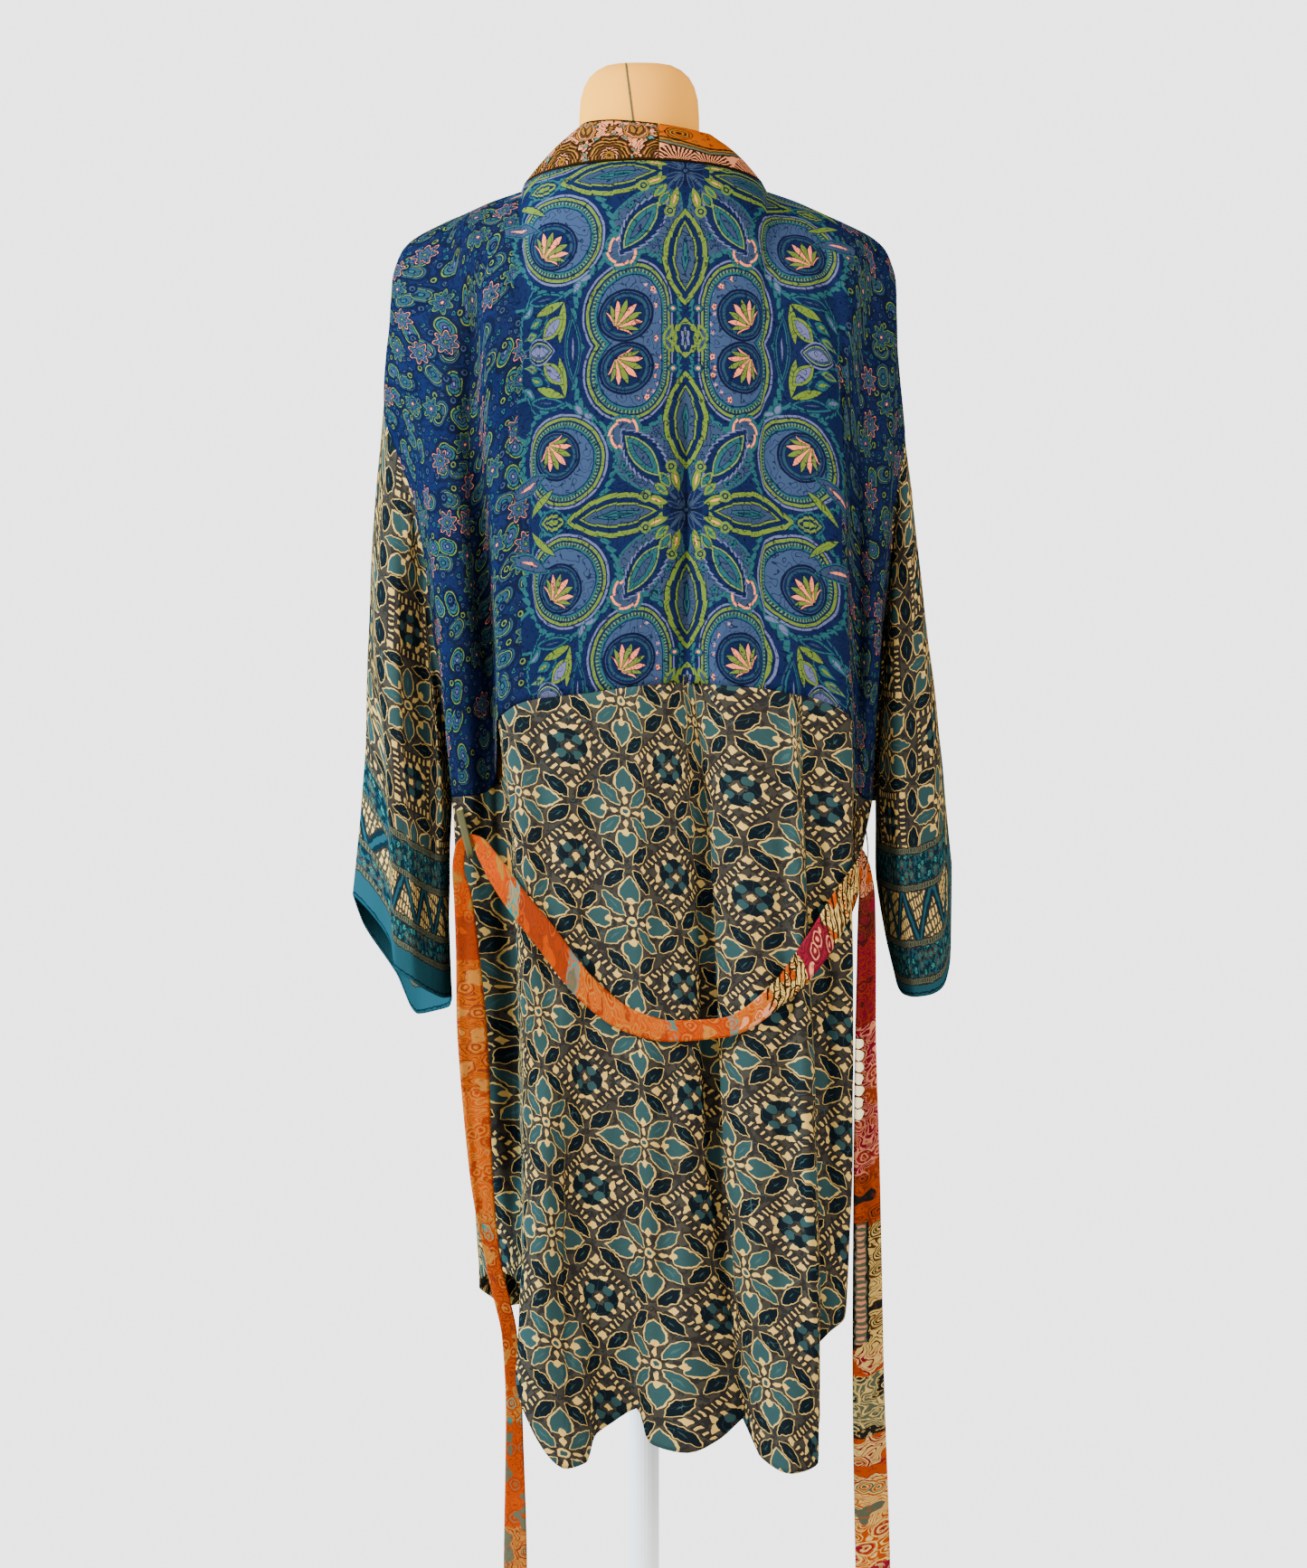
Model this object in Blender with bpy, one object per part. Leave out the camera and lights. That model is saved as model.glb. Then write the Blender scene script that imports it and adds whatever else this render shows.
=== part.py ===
"""Short kimono robe hanging open on a limbless dress form, seen from the back at +Y.

Metres, +Z up. The origin is the middle of the stand's underside. The wearer faces -Y, so +X is the
wearer's left. Every cloth piece is a grid of points worked out from a table of its folds, thickened
to a wall. "back" and "front" tables share the shoulder line, and neighbours share their seam lines.
"""
import math
from collections import namedtuple

import bmesh
import bpy
import numpy as np

# Driving sizes of the cloth
CLOTH = 0.0012          # wall of a single layer
DOUBLE_CLOTH = 0.0024   # wall of the doubled neckband
SASH_CLOTH = 0.0030     # wall of the folded sash
LOOP_CLOTH = 0.0010     # wall of a belt loop
SEAM_GAP = 0.0003       # parting between sewn pieces
HALF_GAP = SEAM_GAP / 2
STEEP_GAP = 0.0012      # added where the yoke's lower seam runs steeply down a fold
ARMHOLE_GAP = 0.0008    # parting at the armholes
ARMHOLE_OUT = 0.0016    # how far outward a sleeve starts, where it folds back along the yoke
UNDERARM_OUT = 0.0035   # how far a sleeve's underarm stands off the side seam
UNDERARM_SHARE = 0.20   # how far up the armhole that reaches
UNDERARM_SPREAD = 0.0022    # how far the sleeve's back and front part at the underarm
UNDERARM_WAY = 0.05     # how much of the armhole's count closes that parting
COLLAR_GAP = 0.0013     # parting at the neckline, where the band turns inward
JOIN_GAP = 0.0008       # parting of the neckband's two pieces

# Heights and places
NAPE_Z = 1.4300         # neckline seam at the centre back
NECK_POINT_Z = 1.4045   # neckline seam where it crosses the shoulder line
NECK_HALF = 0.1020      # half width of the neckline at the shoulder line
NAPE_Y = 0.0920         # depth of the neckline at the centre back
JOIN_X = -0.0120        # where the two neckband pieces are joined at the nape

# How finely the tables are read: points between two folds, and heights down a piece
BACK_STEPS = 2
FRONT_STEPS = 3
YOKE_ROWS = (0.0, 0.004, 0.016, 0.04, 0.08, 0.14, 0.21, 0.3, 0.42, 0.54, 0.66, 0.8, 0.9, 1.0)
SKIRT_ROWS = (0.0, 0.08, 0.18, 0.29, 0.4, 0.52, 0.65, 0.77, 0.87, 0.94, 1.0)
SLEEVE_ROWS = (0.0, 0.04, 0.1, 0.18, 0.27, 0.37, 0.48, 0.6, 0.72, 0.84, 0.93, 1.0)
CHEST = 0.30            # fraction of a yoke's drop at its first table level
WAIST = 0.65            # fraction of a yoke's drop at its second table level
HIP = 0.30              # fraction of a skirt's drop at its first table level
KNEE = 0.65             # fraction of a skirt's drop at its second table level
ELBOW = 0.35            # fraction of a sleeve's drop at its first table level
WRIST = 0.70            # fraction of a sleeve's drop at its second table level

# The shoulder line from the neckline outward, the same on both sides, then down each sleeve head
Ridge = namedtuple("Ridge", "out z")
SHOULDER = (
    Ridge(NECK_HALF, NECK_POINT_Z),
    Ridge(0.1260, 1.3955),
    Ridge(0.1500, 1.3855),
    Ridge(0.1770, 1.3745),
    Ridge(0.1900, 1.3680),
    Ridge(0.2005, 1.3590),
    Ridge(0.2060, 1.3483),
    Ridge(0.2092, 1.3360),
)
SLEEVE_HEAD_LEFT = (
    Ridge(0.2102, 1.3200),
    Ridge(0.2122, 1.2935),
    Ridge(0.2152, 1.2628),
    Ridge(0.2165, 1.2310),
)
SLEEVE_HEAD_RIGHT = (
    Ridge(0.2100, 1.3160),
    Ridge(0.2108, 1.2853),
    Ridge(0.2130, 1.2553),
    Ridge(0.2175, 1.2050),
)

# A yoke's folds. "along" is the way along the shoulder line from the neckline in metres; on the
# neckline itself it is None and "neck_x" says where. Then x and y at two levels, and the lower seam.
YokeFold = namedtuple("YokeFold", "name along neck_x chest_x chest_y waist_x waist_y seam_x seam_y seam_z")
YOKE_BACK = (
    YokeFold("armhole_left", 0.2440, None, 0.1900, 0.0400, 0.1725, 0.0330, 0.1550, 0.0160, 0.9030),
    YokeFold("wing_return_left", 0.2070, None, 0.1885, 0.0560, 0.1712, 0.0470, 0.1575, 0.0320, 0.9035),
    YokeFold("wing_edge_left", 0.1650, None, 0.1850, 0.0760, 0.1730, 0.0730, 0.1590, 0.0520, 0.9040),
    YokeFold("wing_left", 0.1120, None, 0.1620, 0.0930, 0.1510, 0.0850, 0.1430, 0.0600, 0.9050),
    YokeFold("wing_inner_left", 0.0870, None, 0.1470, 0.0970, 0.1380, 0.0800, 0.1320, 0.0500, 0.9080),
    YokeFold("side_valley_left", 0.0650, None, 0.1390, 0.1000, 0.1310, 0.0700, 0.1235, 0.0500, 0.9160),
    YokeFold("panel_return_left", 0.0530, None, 0.1350, 0.1025, 0.1280, 0.0830, 0.1220, 0.0700, 0.9450),
    YokeFold("panel_crest_left", 0.0430, None, 0.1290, 0.1065, 0.1255, 0.1020, 0.1215, 0.1020, 0.9660),
    YokeFold("panel_left", 0.0170, None, 0.1090, 0.1120, 0.1075, 0.1130, 0.1035, 0.1140, 0.9810),
    YokeFold("neck_point_left", 0.0000, None, 0.0950, 0.1145, 0.0930, 0.1155, 0.0880, 0.1170, 0.9850),
    YokeFold("neck_left", None, 0.0840, 0.0790, 0.1165, 0.0760, 0.1175, 0.0710, 0.1195, 0.9870),
    YokeFold("blade_left", None, 0.0600, 0.0580, 0.1185, 0.0560, 0.1190, 0.0540, 0.1210, 0.9890),
    YokeFold("swell_left", None, 0.0140, 0.0130, 0.1210, 0.0110, 0.1215, 0.0090, 0.1220, 0.9950),
    YokeFold("join", None, JOIN_X, -0.0120, 0.1208, -0.0125, 0.1195, -0.0125, 0.1185, 0.9972),
    YokeFold("centre_valley", None, -0.0340, -0.0340, 0.1200, -0.0350, 0.1150, -0.0360, 0.1120, 0.9980),
    YokeFold("swell_right", None, -0.0700, -0.0700, 0.1190, -0.0690, 0.1210, -0.0680, 0.1215, 0.9960),
    YokeFold("neck_point_right", 0.0000, None, -0.1000, 0.1150, -0.1000, 0.1170, -0.1000, 0.1195, 0.9930),
    YokeFold("panel_right", 0.0120, None, -0.1130, 0.1120, -0.1150, 0.1150, -0.1230, 0.1180, 0.9890),
    YokeFold("panel_outer_right", 0.0520, None, -0.1460, 0.1055, -0.1490, 0.1090, -0.1480, 0.1100, 0.9830),
    YokeFold("panel_crest_right", 0.0800, None, -0.1690, 0.0970, -0.1720, 0.1000, -0.1718, 0.0980, 0.9670),
    YokeFold("panel_return_right", 0.0900, None, -0.1735, 0.0930, -0.1740, 0.0790, -0.1725, 0.0660, 0.9420),
    YokeFold("side_valley_right", 0.1010, None, -0.1790, 0.0880, -0.1790, 0.0680, -0.1755, 0.0480, 0.9120),
    YokeFold("wing_right", 0.1280, None, -0.1900, 0.0810, -0.1870, 0.0720, -0.1820, 0.0460, 0.9030),
    YokeFold("wing_edge_right", 0.1680, None, -0.2055, 0.0640, -0.1970, 0.0590, -0.1895, 0.0370, 0.9010),
    YokeFold("wing_return_right", 0.2150, None, -0.2055, 0.0470, -0.1963, 0.0430, -0.1893, 0.0250, 0.9010),
    YokeFold("armhole_right", 0.2620, None, -0.2065, 0.0320, -0.1973, 0.0290, -0.1885, 0.0120, 0.9010),
)
YOKE_FRONT_LEFT = (
    YokeFold("front_edge", 0.0000, None, 0.1120, -0.1160, 0.1090, -0.1180, 0.1050, -0.1120, 0.9750),
    YokeFold("swell", 0.0450, None, 0.1380, -0.1090, 0.1330, -0.1160, 0.1270, -0.1150, 0.9680),
    YokeFold("valley", 0.0900, None, 0.1600, -0.0940, 0.1480, -0.0860, 0.1380, -0.0750, 0.9480),
    YokeFold("lobe", 0.1400, None, 0.1800, -0.0800, 0.1630, -0.0800, 0.1500, -0.0620, 0.9250),
    YokeFold("return", 0.1950, None, 0.1920, -0.0560, 0.1720, -0.0480, 0.1560, -0.0250, 0.9080),
    YokeFold("armhole", 0.2440, None, 0.1930, -0.0400, 0.1735, -0.0260, 0.1550, 0.0155, 0.9030),
)
YOKE_FRONT_RIGHT = (
    YokeFold("front_edge", 0.0000, None, -0.1140, -0.1160, -0.1120, -0.1180, -0.1080, -0.1120, 0.9720),
    YokeFold("swell", 0.0400, None, -0.1390, -0.1080, -0.1380, -0.1150, -0.1340, -0.1160, 0.9660),
    YokeFold("valley", 0.0900, None, -0.1640, -0.0920, -0.1620, -0.0830, -0.1560, -0.0730, 0.9440),
    YokeFold("lobe", 0.1450, None, -0.1850, -0.0780, -0.1820, -0.0780, -0.1750, -0.0600, 0.9200),
    YokeFold("return", 0.2080, None, -0.2040, -0.0530, -0.1950, -0.0460, -0.1870, -0.0250, 0.9050),
    YokeFold("armhole", 0.2620, None, -0.2065, -0.0350, -0.1970, -0.0220, -0.1885, 0.0115, 0.9010),
)

# A skirt's folds. "seam" is the place on the yoke's lower seam, counted in that yoke's folds.
SkirtFold = namedtuple("SkirtFold", "name seam hip_x hip_y knee_x knee_y hem_x hem_y hem_z")
SKIRT_BACK = (
    SkirtFold("side_seam_left", 0.0, 0.1530, 0.0140, 0.1460, 0.0120, 0.1250, 0.0120, 0.5075),
    SkirtFold("side_left", 2.0, 0.1510, 0.0380, 0.1420, 0.0360, 0.1200, 0.0380, 0.5070),
    SkirtFold("side_crest_left", 3.2, 0.1400, 0.0500, 0.1300, 0.0500, 0.1130, 0.0480, 0.5080),
    SkirtFold("side_valley_left", 5.0, 0.1180, 0.0530, 0.1100, 0.0580, 0.1060, 0.0580, 0.5030),
    SkirtFold("return_left", 6.0, 0.1090, 0.0800, 0.1015, 0.0850, 0.0990, 0.0830, 0.4880),
    SkirtFold("crest_left", 7.0, 0.1055, 0.1130, 0.0995, 0.1160, 0.0990, 0.1040, 0.4650),
    SkirtFold("crest_out_left", 7.3, 0.1020, 0.1190, 0.0975, 0.1260, 0.1055, 0.1240, 0.4265),
    SkirtFold("shoulder_left", 8.0, 0.0920, 0.1210, 0.0880, 0.1300, 0.0930, 0.1430, 0.3850),
    SkirtFold("lobe_1", 9.9, 0.0710, 0.1210, 0.0660, 0.1280, 0.0640, 0.1500, 0.3515),
    SkirtFold("lobe_1_inner", 11.0, 0.0550, 0.1200, 0.0540, 0.1180, 0.0465, 0.1370, 0.3570),
    SkirtFold("notch_1_outer", 11.3, 0.0450, 0.1200, 0.0460, 0.1120, 0.0410, 0.1170, 0.3760),
    SkirtFold("notch_1", 11.7, 0.0270, 0.1210, 0.0260, 0.1120, 0.0240, 0.1080, 0.3890),
    SkirtFold("notch_1_inner", 12.0, 0.0080, 0.1220, 0.0060, 0.1170, 0.0060, 0.1130, 0.3995),
    SkirtFold("lobe_2_left", 12.5, -0.0040, 0.1210, -0.0070, 0.1220, -0.0050, 0.1330, 0.3720),
    SkirtFold("lobe_2", 13.4, -0.0240, 0.1180, -0.0300, 0.1230, -0.0360, 0.1430, 0.3640),
    SkirtFold("lobe_2_right", 13.85, -0.0380, 0.1120, -0.0480, 0.1120, -0.0640, 0.1300, 0.3760),
    SkirtFold("centre_valley", 14.0, -0.0455, 0.1070, -0.0565, 0.1030, -0.0815, 0.1100, 0.3910),
    SkirtFold("lobe_3_left", 14.2, -0.0530, 0.1120, -0.0660, 0.1120, -0.0950, 0.1300, 0.3620),
    SkirtFold("lobe_3", 15.0, -0.0800, 0.1210, -0.0970, 0.1270, -0.1210, 0.1460, 0.3470),
    SkirtFold("crest_right", 16.8, -0.1240, 0.1210, -0.1340, 0.1320, -0.1435, 0.1280, 0.3560),
    SkirtFold("crest_edge_right", 17.05, -0.1285, 0.1150, -0.1365, 0.1200, -0.1440, 0.1080, 0.3850),
    SkirtFold("valley_right", 17.3, -0.1315, 0.1060, -0.1390, 0.0980, -0.1405, 0.0850, 0.4420),
    SkirtFold("edge_inner_right", 18.0, -0.1480, 0.1080, -0.1520, 0.1000, -0.1515, 0.0900, 0.4595),
    SkirtFold("edge_right", 19.0, -0.1715, 0.0950, -0.1725, 0.0860, -0.1660, 0.0800, 0.4730),
    SkirtFold("return_right", 20.5, -0.1725, 0.0700, -0.1725, 0.0600, -0.1680, 0.0550, 0.4900),
    SkirtFold("side_right", 22.5, -0.1700, 0.0360, -0.1680, 0.0320, -0.1630, 0.0300, 0.4980),
    SkirtFold("side_seam_right", 25.0, -0.1680, 0.0100, -0.1650, 0.0070, -0.1580, 0.0060, 0.5000),
)
SKIRT_FRONT_LEFT = (
    SkirtFold("front_edge", 0.0, 0.1020, -0.1100, 0.1000, -0.1080, 0.0980, -0.1060, 0.4780),
    SkirtFold("swell", 1.0, 0.1220, -0.1190, 0.1200, -0.1250, 0.1180, -0.1280, 0.4740),
    SkirtFold("valley", 2.0, 0.1330, -0.0800, 0.1290, -0.0840, 0.1260, -0.0860, 0.4820),
    SkirtFold("lobe", 3.0, 0.1480, -0.0650, 0.1430, -0.0700, 0.1380, -0.0740, 0.4920),
    SkirtFold("return", 4.0, 0.1520, -0.0250, 0.1470, -0.0300, 0.1350, -0.0320, 0.5020),
    SkirtFold("side_seam", 5.0, 0.1530, 0.0135, 0.1460, 0.0115, 0.1250, 0.0115, 0.5075),
)
SKIRT_FRONT_RIGHT = (
    SkirtFold("front_edge", 0.0, -0.1050, -0.1100, -0.1020, -0.1080, -0.1000, -0.1060, 0.4760),
    SkirtFold("swell", 1.0, -0.1280, -0.1190, -0.1240, -0.1240, -0.1220, -0.1270, 0.4720),
    SkirtFold("valley", 2.0, -0.1430, -0.0780, -0.1380, -0.0820, -0.1340, -0.0850, 0.4800),
    SkirtFold("lobe", 3.0, -0.1600, -0.0620, -0.1550, -0.0680, -0.1500, -0.0720, 0.4880),
    SkirtFold("return", 4.0, -0.1670, -0.0250, -0.1640, -0.0280, -0.1600, -0.0300, 0.4960),
    SkirtFold("side_seam", 5.0, -0.1680, 0.0095, -0.1650, 0.0065, -0.1580, 0.0055, 0.5000),
)

# A sleeve's folds, round from the underarm up the back, over the sleeve head and down the front.
# "armhole" is the place on the armhole seam: 0 at the underarm, 1 at the head, 2 back at the underarm.
SleeveFold = namedtuple("SleeveFold", "name armhole elbow_x elbow_y wrist_x wrist_y cuff_x cuff_y cuff_z")
SLEEVE_LEFT = (
    SleeveFold("inner_fold", 0.00, 0.1625, 0.0150, 0.1625, 0.0100, 0.1605, 0.0040, 0.7350),
    SleeveFold("inner_back", 0.12, 0.1635, 0.0280, 0.1625, 0.0260, 0.1600, 0.0200, 0.7380),
    SleeveFold("strip", 0.34, 0.1700, 0.0420, 0.1680, 0.0420, 0.1660, 0.0350, 0.7370),
    SleeveFold("valley", 0.58, 0.1810, 0.0330, 0.1810, 0.0480, 0.1780, 0.0470, 0.7420),
    SleeveFold("main_lobe", 0.79, 0.2030, 0.0570, 0.1960, 0.0620, 0.1930, 0.0590, 0.7520),
    SleeveFold("main_edge", 0.92, 0.2190, 0.0450, 0.2110, 0.0600, 0.2065, 0.0580, 0.7625),
    SleeveFold("main_return", 0.96, 0.2230, 0.0300, 0.2130, 0.0400, 0.2100, 0.0360, 0.7810),
    SleeveFold("outer_lobe", 0.984, 0.2262, 0.0170, 0.2240, 0.0220, 0.2280, 0.0160, 0.8080),
    SleeveFold("head", 1.00, 0.2280, 0.0000, 0.2320, -0.0060, 0.2430, -0.0120, 0.8225),
    SleeveFold("front_outer", 1.04, 0.2230, -0.0220, 0.2270, -0.0360, 0.2360, -0.0480, 0.8000),
    SleeveFold("front_lobe", 1.21, 0.2100, -0.0480, 0.2120, -0.0620, 0.2080, -0.0640, 0.7560),
    SleeveFold("front_low", 1.54, 0.1950, -0.0480, 0.1960, -0.0560, 0.1890, -0.0590, 0.7220),
    SleeveFold("front_inner", 1.66, 0.1800, -0.0440, 0.1790, -0.0450, 0.1745, -0.0420, 0.7250),
    SleeveFold("inner_front", 1.90, 0.1670, -0.0240, 0.1660, -0.0250, 0.1630, -0.0220, 0.7290),
)
SLEEVE_RIGHT = (
    SleeveFold("inner_fold", 0.00, -0.1935, 0.0130, -0.2000, 0.0080, -0.2110, 0.0020, 0.7480),
    SleeveFold("inner_back", 0.20, -0.1945, 0.0300, -0.2005, 0.0300, -0.2125, 0.0240, 0.7440),
    SleeveFold("strip", 0.46, -0.1990, 0.0440, -0.2050, 0.0500, -0.2160, 0.0430, 0.7400),
    SleeveFold("main_lobe", 0.70, -0.2090, 0.0580, -0.2140, 0.0640, -0.2250, 0.0560, 0.7380),
    SleeveFold("main_outer", 0.86, -0.2240, 0.0580, -0.2290, 0.0630, -0.2385, 0.0520, 0.7400),
    SleeveFold("outer_lobe", 0.96, -0.2335, 0.0380, -0.2440, 0.0410, -0.2500, 0.0300, 0.7490),
    SleeveFold("head", 1.00, -0.2350, 0.0000, -0.2485, 0.0000, -0.2555, -0.0020, 0.7750),
    SleeveFold("front_outer", 1.04, -0.2300, -0.0260, -0.2460, -0.0340, -0.2570, -0.0360, 0.8500),
    SleeveFold("front_lobe", 1.30, -0.2180, -0.0480, -0.2290, -0.0580, -0.2400, -0.0600, 0.8150),
    SleeveFold("front_low", 1.54, -0.2060, -0.0460, -0.2130, -0.0500, -0.2230, -0.0480, 0.7750),
    SleeveFold("inner_front", 1.80, -0.1965, -0.0280, -0.2040, -0.0280, -0.2140, -0.0240, 0.7540),
)

# The neckband's free edge from the nape to the front hem. "station" is the place along its seam:
# 0 to 1 round the neck from the join, 1 to 2 down the front yoke's edge, 2 to 3 down the front skirt's.
BandRow = namedtuple("BandRow", "station free_x free_y free_z")
BAND_LEFT = (
    BandRow(0.000, -0.0120, 0.0560, 1.4620),
    BandRow(0.150, 0.0080, 0.0555, 1.4640),
    BandRow(0.310, 0.0280, 0.0500, 1.4655),
    BandRow(0.490, 0.0435, 0.0390, 1.4650),
    BandRow(0.690, 0.0530, 0.0200, 1.4610),
    BandRow(1.000, 0.0565, -0.0060, 1.4540),
    BandRow(1.025, 0.0580, -0.0420, 1.4280),
    BandRow(1.070, 0.0580, -0.0700, 1.3960),
    BandRow(1.150, 0.0570, -0.1000, 1.3480),
    BandRow(1.300, 0.0540, -0.1200, 1.2700),
    BandRow(1.650, 0.0500, -0.1230, 1.1220),
    BandRow(2.000, 0.0460, -0.1160, 0.9740),
    BandRow(2.320, 0.0430, -0.1150, 0.8150),
    BandRow(2.680, 0.0410, -0.1120, 0.6360),
    BandRow(3.000, 0.0400, -0.1100, 0.4770),
)
BAND_RIGHT = (
    BandRow(0.000, -0.0120, 0.0560, 1.4620),
    BandRow(0.150, -0.0290, 0.0530, 1.4590),
    BandRow(0.340, -0.0450, 0.0430, 1.4560),
    BandRow(0.580, -0.0555, 0.0240, 1.4540),
    BandRow(1.000, -0.0595, -0.0060, 1.4490),
    BandRow(1.025, -0.0600, -0.0420, 1.4240),
    BandRow(1.070, -0.0600, -0.0700, 1.3930),
    BandRow(1.150, -0.0590, -0.1000, 1.3460),
    BandRow(1.300, -0.0560, -0.1200, 1.2700),
    BandRow(1.650, -0.0530, -0.1230, 1.1220),
    BandRow(2.000, -0.0490, -0.1160, 0.9710),
    BandRow(2.320, -0.0460, -0.1150, 0.8130),
    BandRow(2.680, -0.0430, -0.1120, 0.6340),
    BandRow(3.000, -0.0420, -0.1100, 0.4750),
)
BAND_STEPS = 4          # spaces across the neckband
BAND_BULGE = 0.0030     # how far the doubled band rounds outward

# The sash, from its left free end through both belt loops to its right free end.
# "lift" is None where the sash hangs free, and says how far it stands off the skirt where it lies on it.
# "turn" is the way its face looks, in degrees from +Y toward -X.
SashRow = namedtuple("SashRow", "x y z width lift turn")
SASH = (
    SashRow(0.1065, 0.0740, 0.2050, 0.0200, None, 0),
    SashRow(0.1065, 0.0740, 0.2650, 0.0195, None, 0),
    SashRow(0.1075, 0.0745, 0.3950, 0.0140, None, 0),
    SashRow(0.1110, 0.0745, 0.4550, 0.0130, None, 0),
    SashRow(0.1240, 0.0740, 0.5150, 0.0130, None, 0),
    SashRow(0.1345, 0.0740, 0.5900, 0.0190, None, 0),
    SashRow(0.1418, 0.0720, 0.7025, 0.0250, None, 0),
    SashRow(0.1465, 0.0700, 0.7800, 0.0190, None, 0),
    SashRow(0.1500, 0.0700, 0.8200, 0.0150, None, 0),
    SashRow(0.1538, 0.0700, 0.8450, 0.0100, None, 0),
    SashRow(0.1518, 0.0705, 0.8620, 0.0095, None, 0),
    SashRow(0.1450, 0.0715, 0.8680, 0.0100, None, 0),
    SashRow(0.1375, 0.0745, 0.8660, 0.0110, None, 0),
    SashRow(0.1295, 0.0960, 0.8550, 0.0170, None, 0),
    SashRow(0.1190, 0.1180, 0.8390, 0.0220, None, 0),
    SashRow(0.1060, 0.1230, 0.8200, 0.0240, 0.0040, 0),
    SashRow(0.0840, 0.1250, 0.7925, 0.0260, 0.0040, 0),
    SashRow(0.0465, 0.1250, 0.7450, 0.0260, 0.0040, 0),
    SashRow(0.0130, 0.1250, 0.7200, 0.0240, 0.0040, 0),
    SashRow(-0.0210, 0.1250, 0.7110, 0.0210, 0.0045, 0),
    SashRow(-0.0660, 0.1250, 0.7140, 0.0190, 0.0055, 0),
    SashRow(-0.1110, 0.1260, 0.7420, 0.0220, 0.0045, 0),
    SashRow(-0.1410, 0.1220, 0.7780, 0.0240, 0.0040, 0),
    SashRow(-0.1620, 0.1150, 0.8130, 0.0220, 0.0045, 10),
    SashRow(-0.1740, 0.1090, 0.8370, 0.0150, None, 40),
    SashRow(-0.1795, 0.0980, 0.8500, 0.0110, None, 65),
    SashRow(-0.1800, 0.0850, 0.8560, 0.0100, None, 75),
    SashRow(-0.1810, 0.0730, 0.8545, 0.0100, None, 65),
    SashRow(-0.1835, 0.0650, 0.8440, 0.0110, None, 40),
    SashRow(-0.1848, 0.0600, 0.8200, 0.0140, None, 15),
    SashRow(-0.1845, 0.0560, 0.7600, 0.0160, None, 0),
    SashRow(-0.1840, 0.0520, 0.7100, 0.0170, None, 0),
    SashRow(-0.1850, 0.0480, 0.5900, 0.0220, None, 0),
    SashRow(-0.1860, 0.0450, 0.4400, 0.0260, None, 0),
    SashRow(-0.1900, 0.0450, 0.2650, 0.0290, None, 0),
    SashRow(-0.1910, 0.0450, 0.2050, 0.0290, None, 0),
)
SASH_STEPS = 2          # points between two rows of the sash
TURN_WEIGHT = 0.001     # keeps the sash's turn out of the way along it
SASH_REACH = 0.016      # how wide a patch of skirt holds the sash off
FINE_ROWS = 41          # rows of the closer grid that the sash is laid on

# A belt loop hangs from the side seam: its top, its lowest point, the way it opens, half its opening
# and the width of its tape
BeltLoop = namedtuple("BeltLoop", "name top low opens half_open width")
BELT_LOOPS = (
    BeltLoop("belt_loop_left", (0.1530, 0.0600, 0.8930), (0.1430, 0.0755, 0.8535),
             (0, 1, 0), 0.0065, 0.0060),
    BeltLoop("belt_loop_right", (-0.1800, 0.0535, 0.8930), (-0.1795, 0.0850, 0.8440),
             (1, 0, 0), 0.0060, 0.0035),
)
LOOP_POINTS = 20
LOOP_FULLNESS = 1.54    # makes the drop-shaped ring as wide as its row says
LOOP_ROUND = 0.4        # how round the ring is at its top, from a point at 0

# The dress form: half width, depth behind and before its middle, and roundness, up the body
FormRing = namedtuple("FormRing", "z half back front power")
FORM_RINGS = (
    FormRing(0.8000, 0.1140, 0.0740, 0.0720, 2.2),
    FormRing(0.8060, 0.1240, 0.0810, 0.0780, 2.2),
    FormRing(0.8300, 0.1300, 0.0850, 0.0810, 2.2),
    FormRing(0.8700, 0.1320, 0.0860, 0.0820, 2.2),
    FormRing(0.9200, 0.1280, 0.0830, 0.0800, 2.2),
    FormRing(0.9800, 0.1180, 0.0780, 0.0780, 2.2),
    FormRing(1.0300, 0.1130, 0.0760, 0.0790, 2.2),
    FormRing(1.0800, 0.1140, 0.0780, 0.0830, 2.2),
    FormRing(1.1400, 0.1240, 0.0850, 0.0910, 2.2),
    FormRing(1.2000, 0.1370, 0.0920, 0.0960, 2.2),
    FormRing(1.2500, 0.1490, 0.0960, 0.0930, 2.2),
    FormRing(1.2900, 0.1620, 0.0930, 0.0850, 2.2),
    FormRing(1.3150, 0.1820, 0.0870, 0.0760, 2.1),
)
FormShoulder = namedtuple("FormShoulder", "back front inset")
FORM_SHOULDERS = (
    # Matches SHOULDER from its outer end inward; inset is how far it lies inside the robe there
    FormShoulder(0.0720, 0.0600, 0.0040),
    FormShoulder(0.0700, 0.0580, 0.0032),
    FormShoulder(0.0660, 0.0560, 0.0024),
    FormShoulder(0.0640, 0.0540, 0.0016),
    FormShoulder(0.0620, 0.0530, 0.0014),
    FormShoulder(0.0590, 0.0500, 0.0014),
    FormShoulder(0.0570, 0.0480, 0.0014),
    FormShoulder(0.0550, 0.0470, 0.0014),
)
NECK_RINGS = (
    FormRing(1.4180, 0.0640, 0.0530, 0.0490, 2.0),
    FormRing(1.4320, 0.0530, 0.0510, 0.0490, 2.0),
    FormRing(1.4480, 0.0502, 0.0490, 0.0485, 2.0),
    FormRing(1.4700, 0.0500, 0.0485, 0.0480, 2.0),
    FormRing(1.4850, 0.0490, 0.0475, 0.0470, 2.0),
    FormRing(1.4960, 0.0460, 0.0445, 0.0440, 2.0),
    FormRing(1.5040, 0.0415, 0.0400, 0.0395, 2.0),
    FormRing(1.5100, 0.0350, 0.0340, 0.0335, 2.0),
    FormRing(1.5140, 0.0270, 0.0260, 0.0255, 2.0),
    FormRing(1.5155, 0.0180, 0.0175, 0.0175, 2.0),
)
NECK_SHIFT = 0.0040     # the neck's middle, off the form's middle
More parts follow.
